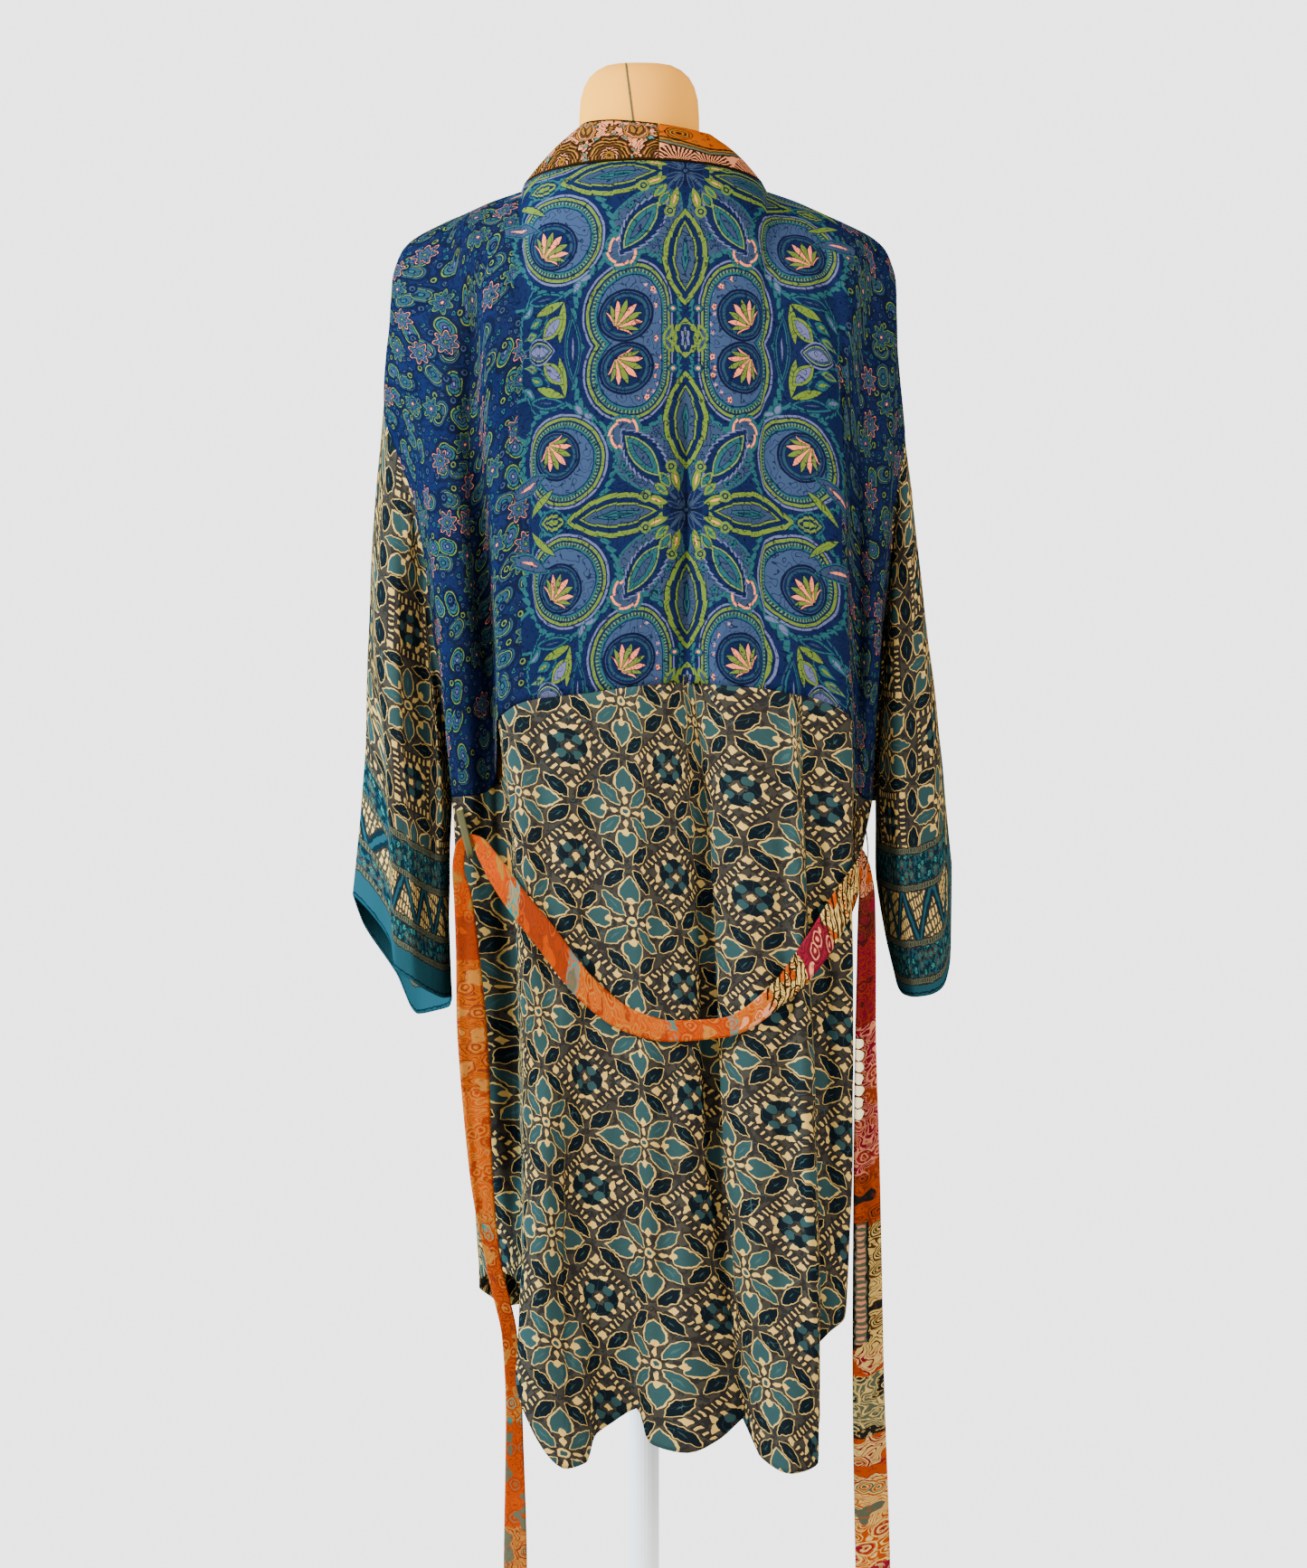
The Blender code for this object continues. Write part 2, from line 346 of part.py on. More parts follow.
FORM_SIDES = 32
SHOULDER_POWER = 2.0
FORM_EDGE = math.radians(50)    # sharper edges of the form are shaded sharp

# The stand under the form
BASE_RADIUS = 0.1500
BASE_HEIGHT = 0.0160
BASE_EDGE = 0.0050
POLE_RADIUS = 0.0125
ROUND_SIDES = 48
STAND_EDGE = math.radians(40)   # sharper edges of the stand are shaded sharp
TINY = 1e-5                     # less than this is no distance

# Colours: red, green, blue, and how rough each finish is
YOKE_BLUE = (0.06, 0.14, 0.36)
BLOCK_BROWN = (0.16, 0.14, 0.12)
BAND_PINK = (0.55, 0.35, 0.22)
BAND_ORANGE = (0.72, 0.25, 0.04)
SASH_ORANGE = (0.75, 0.22, 0.05)
LOOP_OLIVE = (0.20, 0.13, 0.03)
LOOP_BROWN = (0.12, 0.05, 0.02)
FORM_CREAM = (0.80, 0.62, 0.42)
STAND_GREY = (0.74, 0.74, 0.75)
SILK_ROUGH = 0.55
SASH_ROUGH = 0.60
TAPE_ROUGH = 0.70
COTTON_ROUGH = 0.75
LINEN_ROUGH = 0.85
STAND_ROUGH = 0.45


def clear_scene():
    """Remove whatever the scene holds."""
    for thing in list(bpy.data.objects):
        bpy.data.objects.remove(thing, do_unlink=True)


def material(name, colour, roughness):
    """Return a plain Principled material."""
    finish = bpy.data.materials.new(name)
    finish.use_nodes = True
    shader = finish.node_tree.nodes["Principled BSDF"]
    shader.inputs["Base Color"].default_value = (*colour, 1.0)
    shader.inputs["Roughness"].default_value = roughness
    return finish


def monotone(knots, values, places):
    """Read the smooth curve through values at knots, one that never overshoots them, at places."""
    knots = np.asarray(knots, float)
    values = np.asarray(values, float)
    places = np.asarray(places, float)
    spans = np.diff(knots)[:, None]
    rises = np.diff(values, axis=0) / spans
    slopes = np.empty_like(values)
    slopes[0] = rises[0]
    slopes[-1] = rises[-1]
    before = rises[:-1]
    after = rises[1:]
    same_way = before * after > 0
    total = np.where(same_way, before + after, 1.0)
    slopes[1:-1] = np.where(same_way, 2 * before * after / total, 0.0)
    index = np.clip(np.searchsorted(knots, places, side="right") - 1, 0, len(knots) - 2)
    span = spans[index]
    t = ((places - knots[index])[:, None]) / span
    start = (2 * t**3 - 3 * t**2 + 1) * values[index]
    leave = (t**3 - 2 * t**2 + t) * span * slopes[index]
    end = (3 * t**2 - 2 * t**3) * values[index + 1]
    arrive = (t**3 - t**2) * span * slopes[index + 1]
    return start + leave + end + arrive


def chords(points):
    """Return the way along the points, never standing still."""
    steps = np.linalg.norm(np.diff(points, axis=0), axis=1) + TINY
    return np.concatenate(([0.0], np.cumsum(steps)))


def along_folds(points, places):
    """Read the smooth line through the points at places counted in points, 0 to n - 1."""
    points = np.asarray(points, float)
    knots = chords(points)
    at = np.interp(places, np.arange(len(points)), knots)
    return monotone(knots, points, at)


def ridge_line(side):
    """Return the shoulder line as points (x, y, z) for side 1, left, or -1, right."""
    head = SLEEVE_HEAD_LEFT if side > 0 else SLEEVE_HEAD_RIGHT
    return np.array([(side * place.out, 0.0, place.z) for place in SHOULDER + head])


def ridge_point(side, along):
    """Return the point of the shoulder line at a way along it from the neckline."""
    line = ridge_line(side)
    knots = chords(line)
    reach = min(max(along, 0.0), knots[-1])
    return monotone(knots, line, [reach])[0]


def neckline_point(x):
    """Return the point of the back neckline at x."""
    rise = math.sqrt(max(0.0, 1.0 - (x / NECK_HALF) ** 2))
    return np.array((x, NAPE_Y * rise, NECK_POINT_Z + (NAPE_Z - NECK_POINT_Z) * rise))


def yoke_top(folds, place):
    """Return where a yoke starts, on the neckline or the shoulder line, at a place counted in folds."""
    before = folds[int(place)]
    after = folds[min(int(place) + 1, len(folds) - 1)]
    share = place - int(place)
    side = 1 if before.seam_x > 0 else -1
    if before.along is not None and after.along is not None:
        return ridge_point(side, before.along + (after.along - before.along) * share)
    ends = []
    for fold in (before, after):
        own_side = 1 if fold.seam_x > 0 else -1
        ends.append(own_side * NECK_HALF if fold.neck_x is None else fold.neck_x)
    return neckline_point(ends[0] + (ends[1] - ends[0]) * share)


def yoke_grid(folds, rows, steps):
    """Return a yoke's points [row][column] from its folds."""
    places = np.linspace(0, len(folds) - 1, (len(folds) - 1) * steps + 1)
    top = np.array([yoke_top(folds, place) for place in places])
    seam = along_folds([(fold.seam_x, fold.seam_y, fold.seam_z) for fold in folds], places)
    chest = along_folds([(fold.chest_x, fold.chest_y) for fold in folds], places)
    waist = along_folds([(fold.waist_x, fold.waist_y) for fold in folds], places)
    grid = []
    for row in rows:
        z = top[:, 2] + (seam[:, 2] - top[:, 2]) * row
        if row < CHEST:
            near = row / CHEST
            turn = math.sqrt(1.0 - (1.0 - near) ** 2)
            ease = near * near * (3 - 2 * near)
            x = top[:, 0] + (chest[:, 0] - top[:, 0]) * ease
            y = top[:, 1] + (chest[:, 1] - top[:, 1]) * turn
        else:
            levels = np.stack([chest, waist, seam[:, :2]])
            flat = levels.reshape(3, -1)
            x, y = monotone((CHEST, WAIST, 1.0), flat, [row])[0].reshape(-1, 2).T
        grid.append(np.column_stack((x, y, z)))
    return np.array(grid)


def down_levels(stations, levels, rows):
    """Read smooth lines down through points at the given levels, as [row][column]."""
    count = levels[0].shape[0]
    stack = np.stack(levels).reshape(len(levels), -1)
    return monotone(stations, stack, rows).reshape(len(rows), count, 3)


def skirt_grid(folds, yoke_seam, yoke_steps, rows):
    """Return a skirt's points [row][column], hanging from every point of its yoke's lower seam."""
    fold_places = np.arange(len(folds))
    seams = [fold.seam for fold in folds]
    columns = np.arange(len(yoke_seam)) / yoke_steps
    places = np.union1d(np.interp(columns, seams, fold_places).round(4), fold_places)
    hem = along_folds([(fold.hem_x, fold.hem_y, fold.hem_z) for fold in folds], places)
    hip = along_folds([(fold.hip_x, fold.hip_y) for fold in folds], places)
    knee = along_folds([(fold.knee_x, fold.knee_y) for fold in folds], places)
    at = np.interp(places, fold_places, seams)
    top = np.column_stack([np.interp(at, columns, yoke_seam[:, axis]) for axis in range(3)])
    run = np.gradient(top, axis=0)
    steep = abs(run[:, 2]) / np.linalg.norm(run, axis=1)
    top[:, 2] -= SEAM_GAP + STEEP_GAP * steep
    levels = [top]
    for fraction, level in ((HIP, hip), (KNEE, knee)):
        z = top[:, 2] + (hem[:, 2] - top[:, 2]) * fraction
        levels.append(np.column_stack((level, z)))
    levels.append(hem)
    return down_levels((0.0, HIP, KNEE, 1.0), levels, rows)


def past_edge(yoke, end, gap):
    """Return a yoke's armhole edge moved out past itself, square to the edge."""
    edge = yoke[:, end]
    inner = yoke[:, end + 1 if end == 0 else end - 1]
    run = np.gradient(edge, axis=0)
    run /= np.linalg.norm(run, axis=1)[:, None]
    out = edge - inner
    out -= (out * run).sum(axis=1)[:, None] * run
    moved = edge + out / np.linalg.norm(out, axis=1)[:, None] * gap
    moved[:, 0] += np.sign(edge[:, 0]) * ARMHOLE_OUT * np.clip(np.array(YOKE_ROWS) / CHEST, 0, 1)
    return moved


def sleeve_grid(folds, back_seam, front_seam, yoke_rows, rows):
    """Return a sleeve's points [row][column], a tube from every point of its armhole."""
    shares = 1.0 - np.array(yoke_rows)
    way = np.concatenate((shares[::-1], 2.0 - shares[1:]))
    head = np.concatenate((back_seam[::-1], front_seam[1:]))
    low = np.clip(1.0 - (1.0 - abs(way - 1.0)) / UNDERARM_SHARE, 0.0, 1.0) ** 2
    head[:, 0] += math.copysign(UNDERARM_OUT, folds[0].cuff_x) * low
    head[:, 1] += np.where(way < 1.0, UNDERARM_SPREAD, -UNDERARM_SPREAD) * low
    ring = folds + folds[:1]
    holes = [fold.armhole for fold in folds] + [2.0 + UNDERARM_WAY]
    places = np.interp(way, holes, np.arange(len(ring)))
    elbow = along_folds([(fold.elbow_x, fold.elbow_y) for fold in ring], places)
    wrist = along_folds([(fold.wrist_x, fold.wrist_y) for fold in ring], places)
    cuff = along_folds([(fold.cuff_x, fold.cuff_y, fold.cuff_z) for fold in ring], places)
    levels = [head]
    for fraction, level in ((ELBOW, elbow), (WRIST, wrist)):
        z = head[:, 2] + (cuff[:, 2] - head[:, 2]) * fraction
        levels.append(np.column_stack((level, z)))
    levels.append(cuff)
    return down_levels((0.0, ELBOW, WRIST, 1.0), levels, rows)


def band_grid(rows, neck_edge, yoke_edge, skirt_edge, side):
    """Return a neckband's points [row][column], from its seam across to its free edge."""
    seam_line = np.concatenate((neck_edge, yoke_edge[1:], skirt_edge[1:]))
    neck_way = chords(neck_edge)
    stations = np.concatenate((
        neck_way / neck_way[-1],
        1.0 + np.array(YOKE_ROWS[1:]),
        2.0 + np.array(SKIRT_ROWS[1:]),
    ))
    frees = [(row.free_x, row.free_y, row.free_z) for row in rows]
    free_line = monotone([row.station for row in rows], frees, stations)
    across = free_line - seam_line
    seam_line = seam_line + across / np.linalg.norm(across, axis=1)[:, None] * COLLAR_GAP
    forward = np.gradient(seam_line, axis=0)
    outward = np.cross(across, forward) * side
    outward /= np.linalg.norm(outward, axis=1)[:, None]
    grid = []
    for share in np.linspace(0, 1, BAND_STEPS + 1):
        swell = BAND_BULGE * math.sin(math.pi * share)
        grid.append(seam_line + (free_line - seam_line) * share + outward * swell)
    return np.array(grid).transpose(1, 0, 2)


def skirt_depth(skirt, x, z):
    """Return how far back the skirt reaches around a place."""
    near = (abs(skirt[..., 0] - x) < SASH_REACH) & (abs(skirt[..., 2] - z) < SASH_REACH)
    return skirt[near][:, 1].max()


def sash_grid(skirt):
    """Return the sash's points [row][column], lying on the skirt where its rows say so."""
    points = []
    for row in SASH:
        y = row.y if row.lift is None else skirt_depth(skirt, row.x, row.z) + row.lift
        points.append((row.x, y, row.z, row.width, math.radians(row.turn) * TURN_WEIGHT))
    places = np.linspace(0, len(SASH) - 1, (len(SASH) - 1) * SASH_STEPS + 1)
    line = along_folds(points, places)
    forward = np.gradient(line[:, :3], axis=0)
    forward /= np.linalg.norm(forward, axis=1)[:, None]
    turn = line[:, 4] / TURN_WEIGHT
    face = np.column_stack((-np.sin(turn), np.cos(turn), np.zeros(len(turn))))
    across = np.cross(forward, face)
    across /= np.linalg.norm(across, axis=1)[:, None]
    half = line[:, 3:4] / 2
    return np.array([line[:, :3] + across * half * share for share in (-1, 0, 1)]).transpose(1, 0, 2)


def loop_grid(loop):
    """Return a belt loop's points: a flattened ring of tape hanging from its top."""
    top = np.array(loop.top)
    low = np.array(loop.low)
    down = low - top
    length = np.linalg.norm(down)
    down /= length
    width_way = np.cross(down, loop.opens)
    width_way /= np.linalg.norm(width_way)
    open_way = np.cross(width_way, down)
    middle = (top + low) / 2
    grid = []
    for step in range(LOOP_POINTS):
        angle = 2 * math.pi * step / LOOP_POINTS
        along = math.cos(angle) * length / 2
        drop = LOOP_FULLNESS * (1 + math.cos(angle)) / 2
        aside = math.sin(angle) * (LOOP_ROUND + (1 - LOOP_ROUND) * drop) * loop.half_open
        centre = middle + down * along + open_way * aside
        grid.append([centre - width_way * loop.width / 2, centre + width_way * loop.width / 2])
    return np.array(grid).transpose(1, 0, 2)


def cloth(name, grid, wall, finish, closed=False):
    """Make a wall of cloth from a grid of points; closed joins its last column to its first."""
    rows, columns = grid.shape[:2]
    faces = []
    spans = columns if closed else columns - 1
    for row in range(rows - 1):
        for column in range(spans):
            across = (column + 1) % columns
            faces.append((
                row * columns + column,
                row * columns + across,
                (row + 1) * columns + across,
                (row + 1) * columns + column,
            ))
    mesh = bpy.data.meshes.new(name)
    mesh.from_pydata([tuple(point) for point in grid.reshape(-1, 3)], [], faces)
    mesh.validate()
    mesh.shade_smooth()
    piece = bpy.data.objects.new(name, mesh)
    bpy.context.collection.objects.link(piece)
    thick = piece.modifiers.new("wall", "SOLIDIFY")
    thick.thickness = wall
    thick.offset = 0.0
    thick.use_even_offset = True
    thick.use_quality_normals = True
    thick.thickness_clamp = 1.0
    piece.data.materials.append(finish)
    return piece


def ring_points(ring, shift):
    """Return the points of one level of the form."""
    points = []
    for step in range(FORM_SIDES):
        angle = 2 * math.pi * step / FORM_SIDES
        across = math.cos(angle)
        deep = math.sin(angle)
        depth = ring.back if deep > 0 else ring.front
        x = ring.half * math.copysign(abs(across) ** (2 / ring.power), across)
        y = depth * math.copysign(abs(deep) ** (2 / ring.power), deep)
        points.append((x + shift, y, ring.z))
    return points


def form_rings():
    """Return the form's levels with their sideways shift, from its underside to its neck's top."""
    levels = [(ring, 0.0) for ring in FORM_RINGS]
    line = np.array([(place.out, place.z) for place in SHOULDER])
    run = np.gradient(line, axis=0)
    inward = np.column_stack((run[:, 1], -run[:, 0]))
    inward /= np.linalg.norm(inward, axis=1)[:, None]
    for point, way, depth in zip(line[::-1], inward[::-1], FORM_SHOULDERS):
        half, z = point + way * depth.inset
        levels.append((FormRing(z, half, depth.back, depth.front, SHOULDER_POWER), 0.0))
    levels.extend((ring, NECK_SHIFT) for ring in NECK_RINGS)
    return levels


def make_form(finish):
    """Make the limbless body of the dress form with its domed neck."""
    made = bmesh.new()
    loops = []
    for ring, shift in form_rings():
        loops.append([made.verts.new(point) for point in ring_points(ring, shift)])
    made.faces.new(list(reversed(loops[0])))
    made.faces.new(loops[-1])
    for lower, upper in zip(loops, loops[1:]):
        for side in range(FORM_SIDES):
            after = (side + 1) % FORM_SIDES
            made.faces.new((lower[side], lower[after], upper[after], upper[side]))
    mesh = bpy.data.meshes.new("form_torso")
    made.to_mesh(mesh)
    made.free()
    mesh.shade_smooth()
    mesh.set_sharp_from_angle(angle=FORM_EDGE)
    piece = bpy.data.objects.new("form_torso", mesh)
    bpy.context.collection.objects.link(piece)
    piece.data.materials.append(finish)


def make_stand(finish):
    """Make the round base and the pole that carries the form."""
    bpy.ops.mesh.primitive_cylinder_add(
        vertices=ROUND_SIDES, radius=BASE_RADIUS, depth=BASE_HEIGHT, location=(0, 0, BASE_HEIGHT / 2))
    base = bpy.context.object
    base.name = "form_base"
    edge = base.modifiers.new("edge", "BEVEL")
    edge.width = BASE_EDGE
    edge.segments = 2
    edge.limit_method = "ANGLE"
    low = BASE_HEIGHT + SEAM_GAP
    high = FORM_RINGS[0].z - SEAM_GAP
    bpy.ops.mesh.primitive_cylinder_add(
        vertices=ROUND_SIDES // 2, radius=POLE_RADIUS, depth=high - low, location=(0, 0, (low + high) / 2))
    pole = bpy.context.object
    pole.name = "form_pole"
    for piece in (base, pole):
        piece.data.shade_smooth()
        piece.data.set_sharp_from_angle(angle=STAND_EDGE)
        piece.data.materials.append(finish)


def neck_edge(back_yoke, side):
    """Return the back yoke's neckline from the neckband's join to one neck point."""
    names = [fold.name for fold in YOKE_BACK]
    join = names.index("join") * BACK_STEPS
    if side > 0:
        end = names.index("neck_point_left") * BACK_STEPS
        return back_yoke[0, end:join + 1][::-1]
    end = names.index("neck_point_right") * BACK_STEPS
    return back_yoke[0, join:end + 1]


def make_side(side, back_yoke, finishes):
    """Make one front, sleeve and neckband; side is 1 for the wearer's left, -1 for the right."""
    left = side > 0
    word = "left" if left else "right"
    yoke = yoke_grid(YOKE_FRONT_LEFT if left else YOKE_FRONT_RIGHT, YOKE_ROWS, FRONT_STEPS)
    skirt_folds = SKIRT_FRONT_LEFT if left else SKIRT_FRONT_RIGHT
    skirt = skirt_grid(skirt_folds, yoke[-1], FRONT_STEPS, SKIRT_ROWS)
    back_seam = past_edge(back_yoke, 0 if left else -1, ARMHOLE_GAP)
    front_seam = past_edge(yoke, -1, ARMHOLE_GAP)
    sleeve_folds = SLEEVE_LEFT if left else SLEEVE_RIGHT
    sleeve = sleeve_grid(sleeve_folds, back_seam, front_seam, YOKE_ROWS, SLEEVE_ROWS)
    band_rows = BAND_LEFT if left else BAND_RIGHT
    band = band_grid(band_rows, neck_edge(back_yoke, side), yoke[:, 0], skirt[:, 0], side)
    band[0, :, 0] += side * JOIN_GAP / 2
    part_at_shoulder(yoke, -1)
    part_at_side(skirt, -1)
    cloth(f"front_yoke_{word}", yoke, CLOTH, finishes["yoke"])
    cloth(f"front_skirt_{word}", skirt, CLOTH, finishes["skirt"])
    cloth(f"sleeve_{word}", sleeve, CLOTH, finishes["sleeve"], closed=True)
    cloth(f"neckband_{word}", band, DOUBLE_CLOTH, finishes[f"band_{word}"])


def part_at_shoulder(yoke, way):
    """Part a yoke's upper edge from the other yoke's, toward the back for way 1, the front for -1."""
    on_ridge = abs(yoke[0, :, 1]) < TINY
    yoke[0, on_ridge, 1] += way * (HALF_GAP + CLOTH / 2)


def part_at_side(skirt, way):
    """Part a skirt's side edges from the other skirt's."""
    ends = (0, -1) if way > 0 else (-1,)
    for end in ends:
        skirt[:, end, 1] += way * (HALF_GAP + CLOTH / 2)


def build():
    """Make every piece."""
    clear_scene()
    silk = material("yoke silk", YOKE_BLUE, SILK_ROUGH)
    block = material("block print cotton", BLOCK_BROWN, COTTON_ROUGH)
    sash_silk = material("sash patchwork", SASH_ORANGE, SASH_ROUGH)
    linen = material("form linen", FORM_CREAM, LINEN_ROUGH)
    metal = material("stand metal", STAND_GREY, STAND_ROUGH)
    finishes = {
        "yoke": silk,
        "skirt": block,
        "sleeve": block,
        "band_left": material("neckband pink", BAND_PINK, SASH_ROUGH),
        "band_right": material("neckband orange", BAND_ORANGE, SASH_ROUGH),
    }
    loop_finishes = (
        material("loop olive", LOOP_OLIVE, TAPE_ROUGH),
        material("loop brown", LOOP_BROWN, TAPE_ROUGH),
    )

    yoke = yoke_grid(YOKE_BACK, YOKE_ROWS, BACK_STEPS)
    skirt = skirt_grid(SKIRT_BACK, yoke[-1], BACK_STEPS, SKIRT_ROWS)
    for side in (1, -1):
        make_side(side, yoke, finishes)
    fine_rows = np.linspace(0, 1, FINE_ROWS)
    sash = sash_grid(skirt_grid(SKIRT_BACK, yoke[-1], BACK_STEPS, fine_rows))
    part_at_shoulder(yoke, 1)
    part_at_side(skirt, 1)
    cloth("back_yoke", yoke, CLOTH, silk)
    cloth("back_skirt", skirt, CLOTH, block)
    cloth("sash", sash, SASH_CLOTH, sash_silk)
    for loop, finish in zip(BELT_LOOPS, loop_finishes):
        cloth(loop.name, loop_grid(loop), LOOP_CLOTH, finish, closed=True)
    make_form(linen)
    make_stand(metal)


build()
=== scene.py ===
"""Short kimono robe hanging open on a limbless dress form: its cloth, prints, light and camera.

Metres, +Z up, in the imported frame. +Y is the robe's back and +X the wearer's left. Each cloth piece is a
fine grid worked out from the table of its folds, pressed with creases and given a thin wall. Its "Cut"
map holds where each point lay on the flat cloth, in metres, and the prints are drawn on that.

A table is a text of one row a line, in the order of its class's fields. "-" is a number left out. Bands
are written as where each starts and its ink.
"""
import logging
import math
from dataclasses import dataclass, replace
from enum import Enum
from typing import Any, Callable, NamedTuple, Optional, Sequence, Union

import bmesh
import bpy
import numpy as np
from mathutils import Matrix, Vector


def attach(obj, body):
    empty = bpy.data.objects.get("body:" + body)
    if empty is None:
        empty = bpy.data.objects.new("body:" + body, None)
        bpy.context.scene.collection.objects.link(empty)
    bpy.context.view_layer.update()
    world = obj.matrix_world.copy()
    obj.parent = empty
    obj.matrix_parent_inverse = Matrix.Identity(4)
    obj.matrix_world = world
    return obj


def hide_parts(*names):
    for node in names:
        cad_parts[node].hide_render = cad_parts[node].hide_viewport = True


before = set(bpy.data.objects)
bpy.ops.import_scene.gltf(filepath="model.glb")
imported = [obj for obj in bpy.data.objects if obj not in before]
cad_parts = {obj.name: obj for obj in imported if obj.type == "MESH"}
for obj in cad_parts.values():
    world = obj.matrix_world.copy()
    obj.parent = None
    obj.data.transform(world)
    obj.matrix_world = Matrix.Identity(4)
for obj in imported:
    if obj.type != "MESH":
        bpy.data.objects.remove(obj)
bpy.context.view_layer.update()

log = logging.getLogger("robe")

PHOTO_PIXEL = 0.00075       # metres of cloth a pixel of the photograph shows
PER_PIXEL = 1.0 / PHOTO_PIXEL
PHOTO_CENTRE = 712          # the robe's centre line in the photograph, in pixels
PHOTO_NAPE = 180            # the nape's height in the photograph, in pixels
TINY = 1e-5                 # less than this is no distance
CORNERS = ((0, 0, 1, 1), (0, 1, 1, 0))      # rows and columns of a square's corners, going round
CREASE_END = 0.02           # share of a crease's length where its fading stops
CREASE_FADE = 0.6           # how late a crease fades toward its ends
CREASE_LIP = 0.35           # how high the cloth rises beside a crease
BAKE_SPAN = (0.002, 0.996)  # where the map for baking starts, and how much of its square it fills


class Side(Enum):
    """The wearer's side a piece is on; the value is the sign of its x."""

    LEFT = 1
    RIGHT = -1

    @property
    def word(self) -> str:
        """Return the side's name in a piece's name."""
        return self.name.lower()


class Fold(NamedTuple):
    """A fold of a yoke, skirt or sleeve: its start on the seam above, two levels on its way, and its end.

    A yoke's fold starts along the shoulder line, or on the neckline at its own x.
    """

    name: str
    start: Optional[float]
    upper_x: float
    upper_y: float
    lower_x: float
    lower_y: float
    end_x: float
    end_y: float
    end_z: float
    neck_x: Optional[float] = None


class BandRow(NamedTuple):
    """A point of a neckband's free edge and its station along the seam."""

    station: float
    free_x: float
    free_y: float
    free_z: float


class SashRow(NamedTuple):
    """A point of the sash's middle line: its width, its lift off the skirt it lies on, and its turn.

    The turn is the way its face looks, in degrees from +Y toward -X.
    """

    x: float
    y: float
    z: float
    width: float
    lift: Optional[float]
    turn: float


class BeltLoop(NamedTuple):
    """A belt loop: top, lowest point, the way it opens, half its opening, and its tape's width."""

    name: str
    top: tuple[float, float, float]
    low: tuple[float, float, float]
    opens: tuple[float, float, float]
    half_open: float
    width: float


class Patch(NamedTuple):
    """A patch of the sash: where it starts along it in metres, and its inks."""

    start: float
    ground: str
    ink: str
    spot: str


class Motif(NamedTuple):
    """A shape of a print: its middle, way and half sizes, its edge's teeth, and its bands from within."""

    shape: str
    x: float
    y: float
    angle: float
    long: float
    wide: float
    teeth: float
    bite: float
    bands: str


class Blossoms(NamedTuple):
    """Small flowers of two kinds strewn over a part of a print."""

    cell: float
    radius: float
    petals: int
    first: str
    second: str
    share: float = 0.9
    shift: float = 0.0


def photo_place(px: float, py: float) -> tuple[float, float]:
    """Return the x and z in metres of a place in the photograph's pixels."""
    return (PHOTO_CENTRE - px) * PHOTO_PIXEL, NAPE_Z - (py - PHOTO_NAPE) * PHOTO_PIXEL


def chords(points: np.ndarray) -> np.ndarray:
    """Return the way along the points, never standing still."""
    steps = np.linalg.norm(np.diff(points, axis=0), axis=1) + TINY
    return np.concatenate(([0.0], np.cumsum(steps)))


class Crease(NamedTuple):
    """A fold pressed into a sheet along a line seen from the back, with places in photograph pixels.

    A positive depth is a valley and a negative one a ridge; lean makes one side of it steeper.
    """

    width: float
    depth: float
    lean: float
    spots: str

    def press(self, x: np.ndarray, z: np.ndarray) -> np.ndarray:
        """Work out how far the crease moves each point inward.

        Args:
            x: the points' x.
            z: the points' z.

        Returns:
            The moves, in metres.
        """
        line = np.array([photo_place(*map(float, spot.split(","))) for spot in self.spots.split()])
        best = np.full(x.shape, 1e9)
        side = np.zeros(x.shape)
        share = np.zeros(x.shape)
        lengths = chords(line)
        for index, (start, end) in enumerate(zip(line, line[1:])):
            way = end - start
            span = np.linalg.norm(way)
            t = np.clip(((x - start[0]) * way[0] + (z - start[1]) * way[1]) / span**2, 0, 1)
            off_x = x - start[0] - t * way[0]
            off_z = z - start[1] - t * way[1]
            away = np.hypot(off_x, off_z)
            nearer = away < best
            best = np.where(nearer, away, best)
            side = np.where(nearer, np.sign(off_x * way[1] - off_z * way[0]), side)
            share = np.where(nearer, (lengths[index] + t * span) / lengths[-1], share)
        reach = best / (self.width * (1 + self.lean * side))
        fade = np.sin(np.pi * np.clip(share, CREASE_END, 1 - CREASE_END)) ** CREASE_FADE
        return self.depth * fade * np.exp(-reach**2) * (1 - CREASE_LIP * reach**2)


def entry(word: str) -> Union[float, str, None]:
    """Read a word of a table.

    Args:
        word: the word.

    Returns:
        A number if it is one, None for a dash, or else the word.
    """
    if word == "-":
        return None
    return word if word[0].isalpha() or " " in word else float(word)


def table(kind: type, text: str) -> tuple[Any, ...]:
    """Read a table.

    Args:
        kind: the class of a row; its last field takes the rest of a line.
        text: the rows.

    Returns:
        Its rows.
    """
    last = len(kind._fields) - 1
    return tuple(kind(*map(entry, line.split(maxsplit=last))) for line in text.strip().splitlines())


# Driving sizes of the cloth, as in the solids
SEAM_GAP = 0.0003       # parting between sewn pieces
STEEP_GAP = 0.0012      # added where the yoke's lower seam runs steeply down a fold
ARMHOLE_GAP = 0.0008    # parting at the armholes
ARMHOLE_OUT = 0.0016    # how far outward a sleeve starts, where it folds back along the yoke
UNDERARM_OUT = 0.0035   # how far a sleeve's underarm stands off the side seam
UNDERARM_SHARE = 0.20   # how far up the armhole that reaches
UNDERARM_SPREAD = 0.0022    # how far the sleeve's back and front part at the underarm
UNDERARM_WAY = 0.05     # how much of the armhole's count closes that parting
COLLAR_GAP = 0.0013     # parting at the neckline, where the band turns inward
JOIN_GAP = 0.0008       # parting of the neckband's two pieces

# The neckline: heights at the centre back and at the shoulder line, half width and depth
NAPE_Z = 1.4300
NECK_POINT_Z = 1.4085
NECK_HALF = 0.1020
NAPE_Y = 0.0920

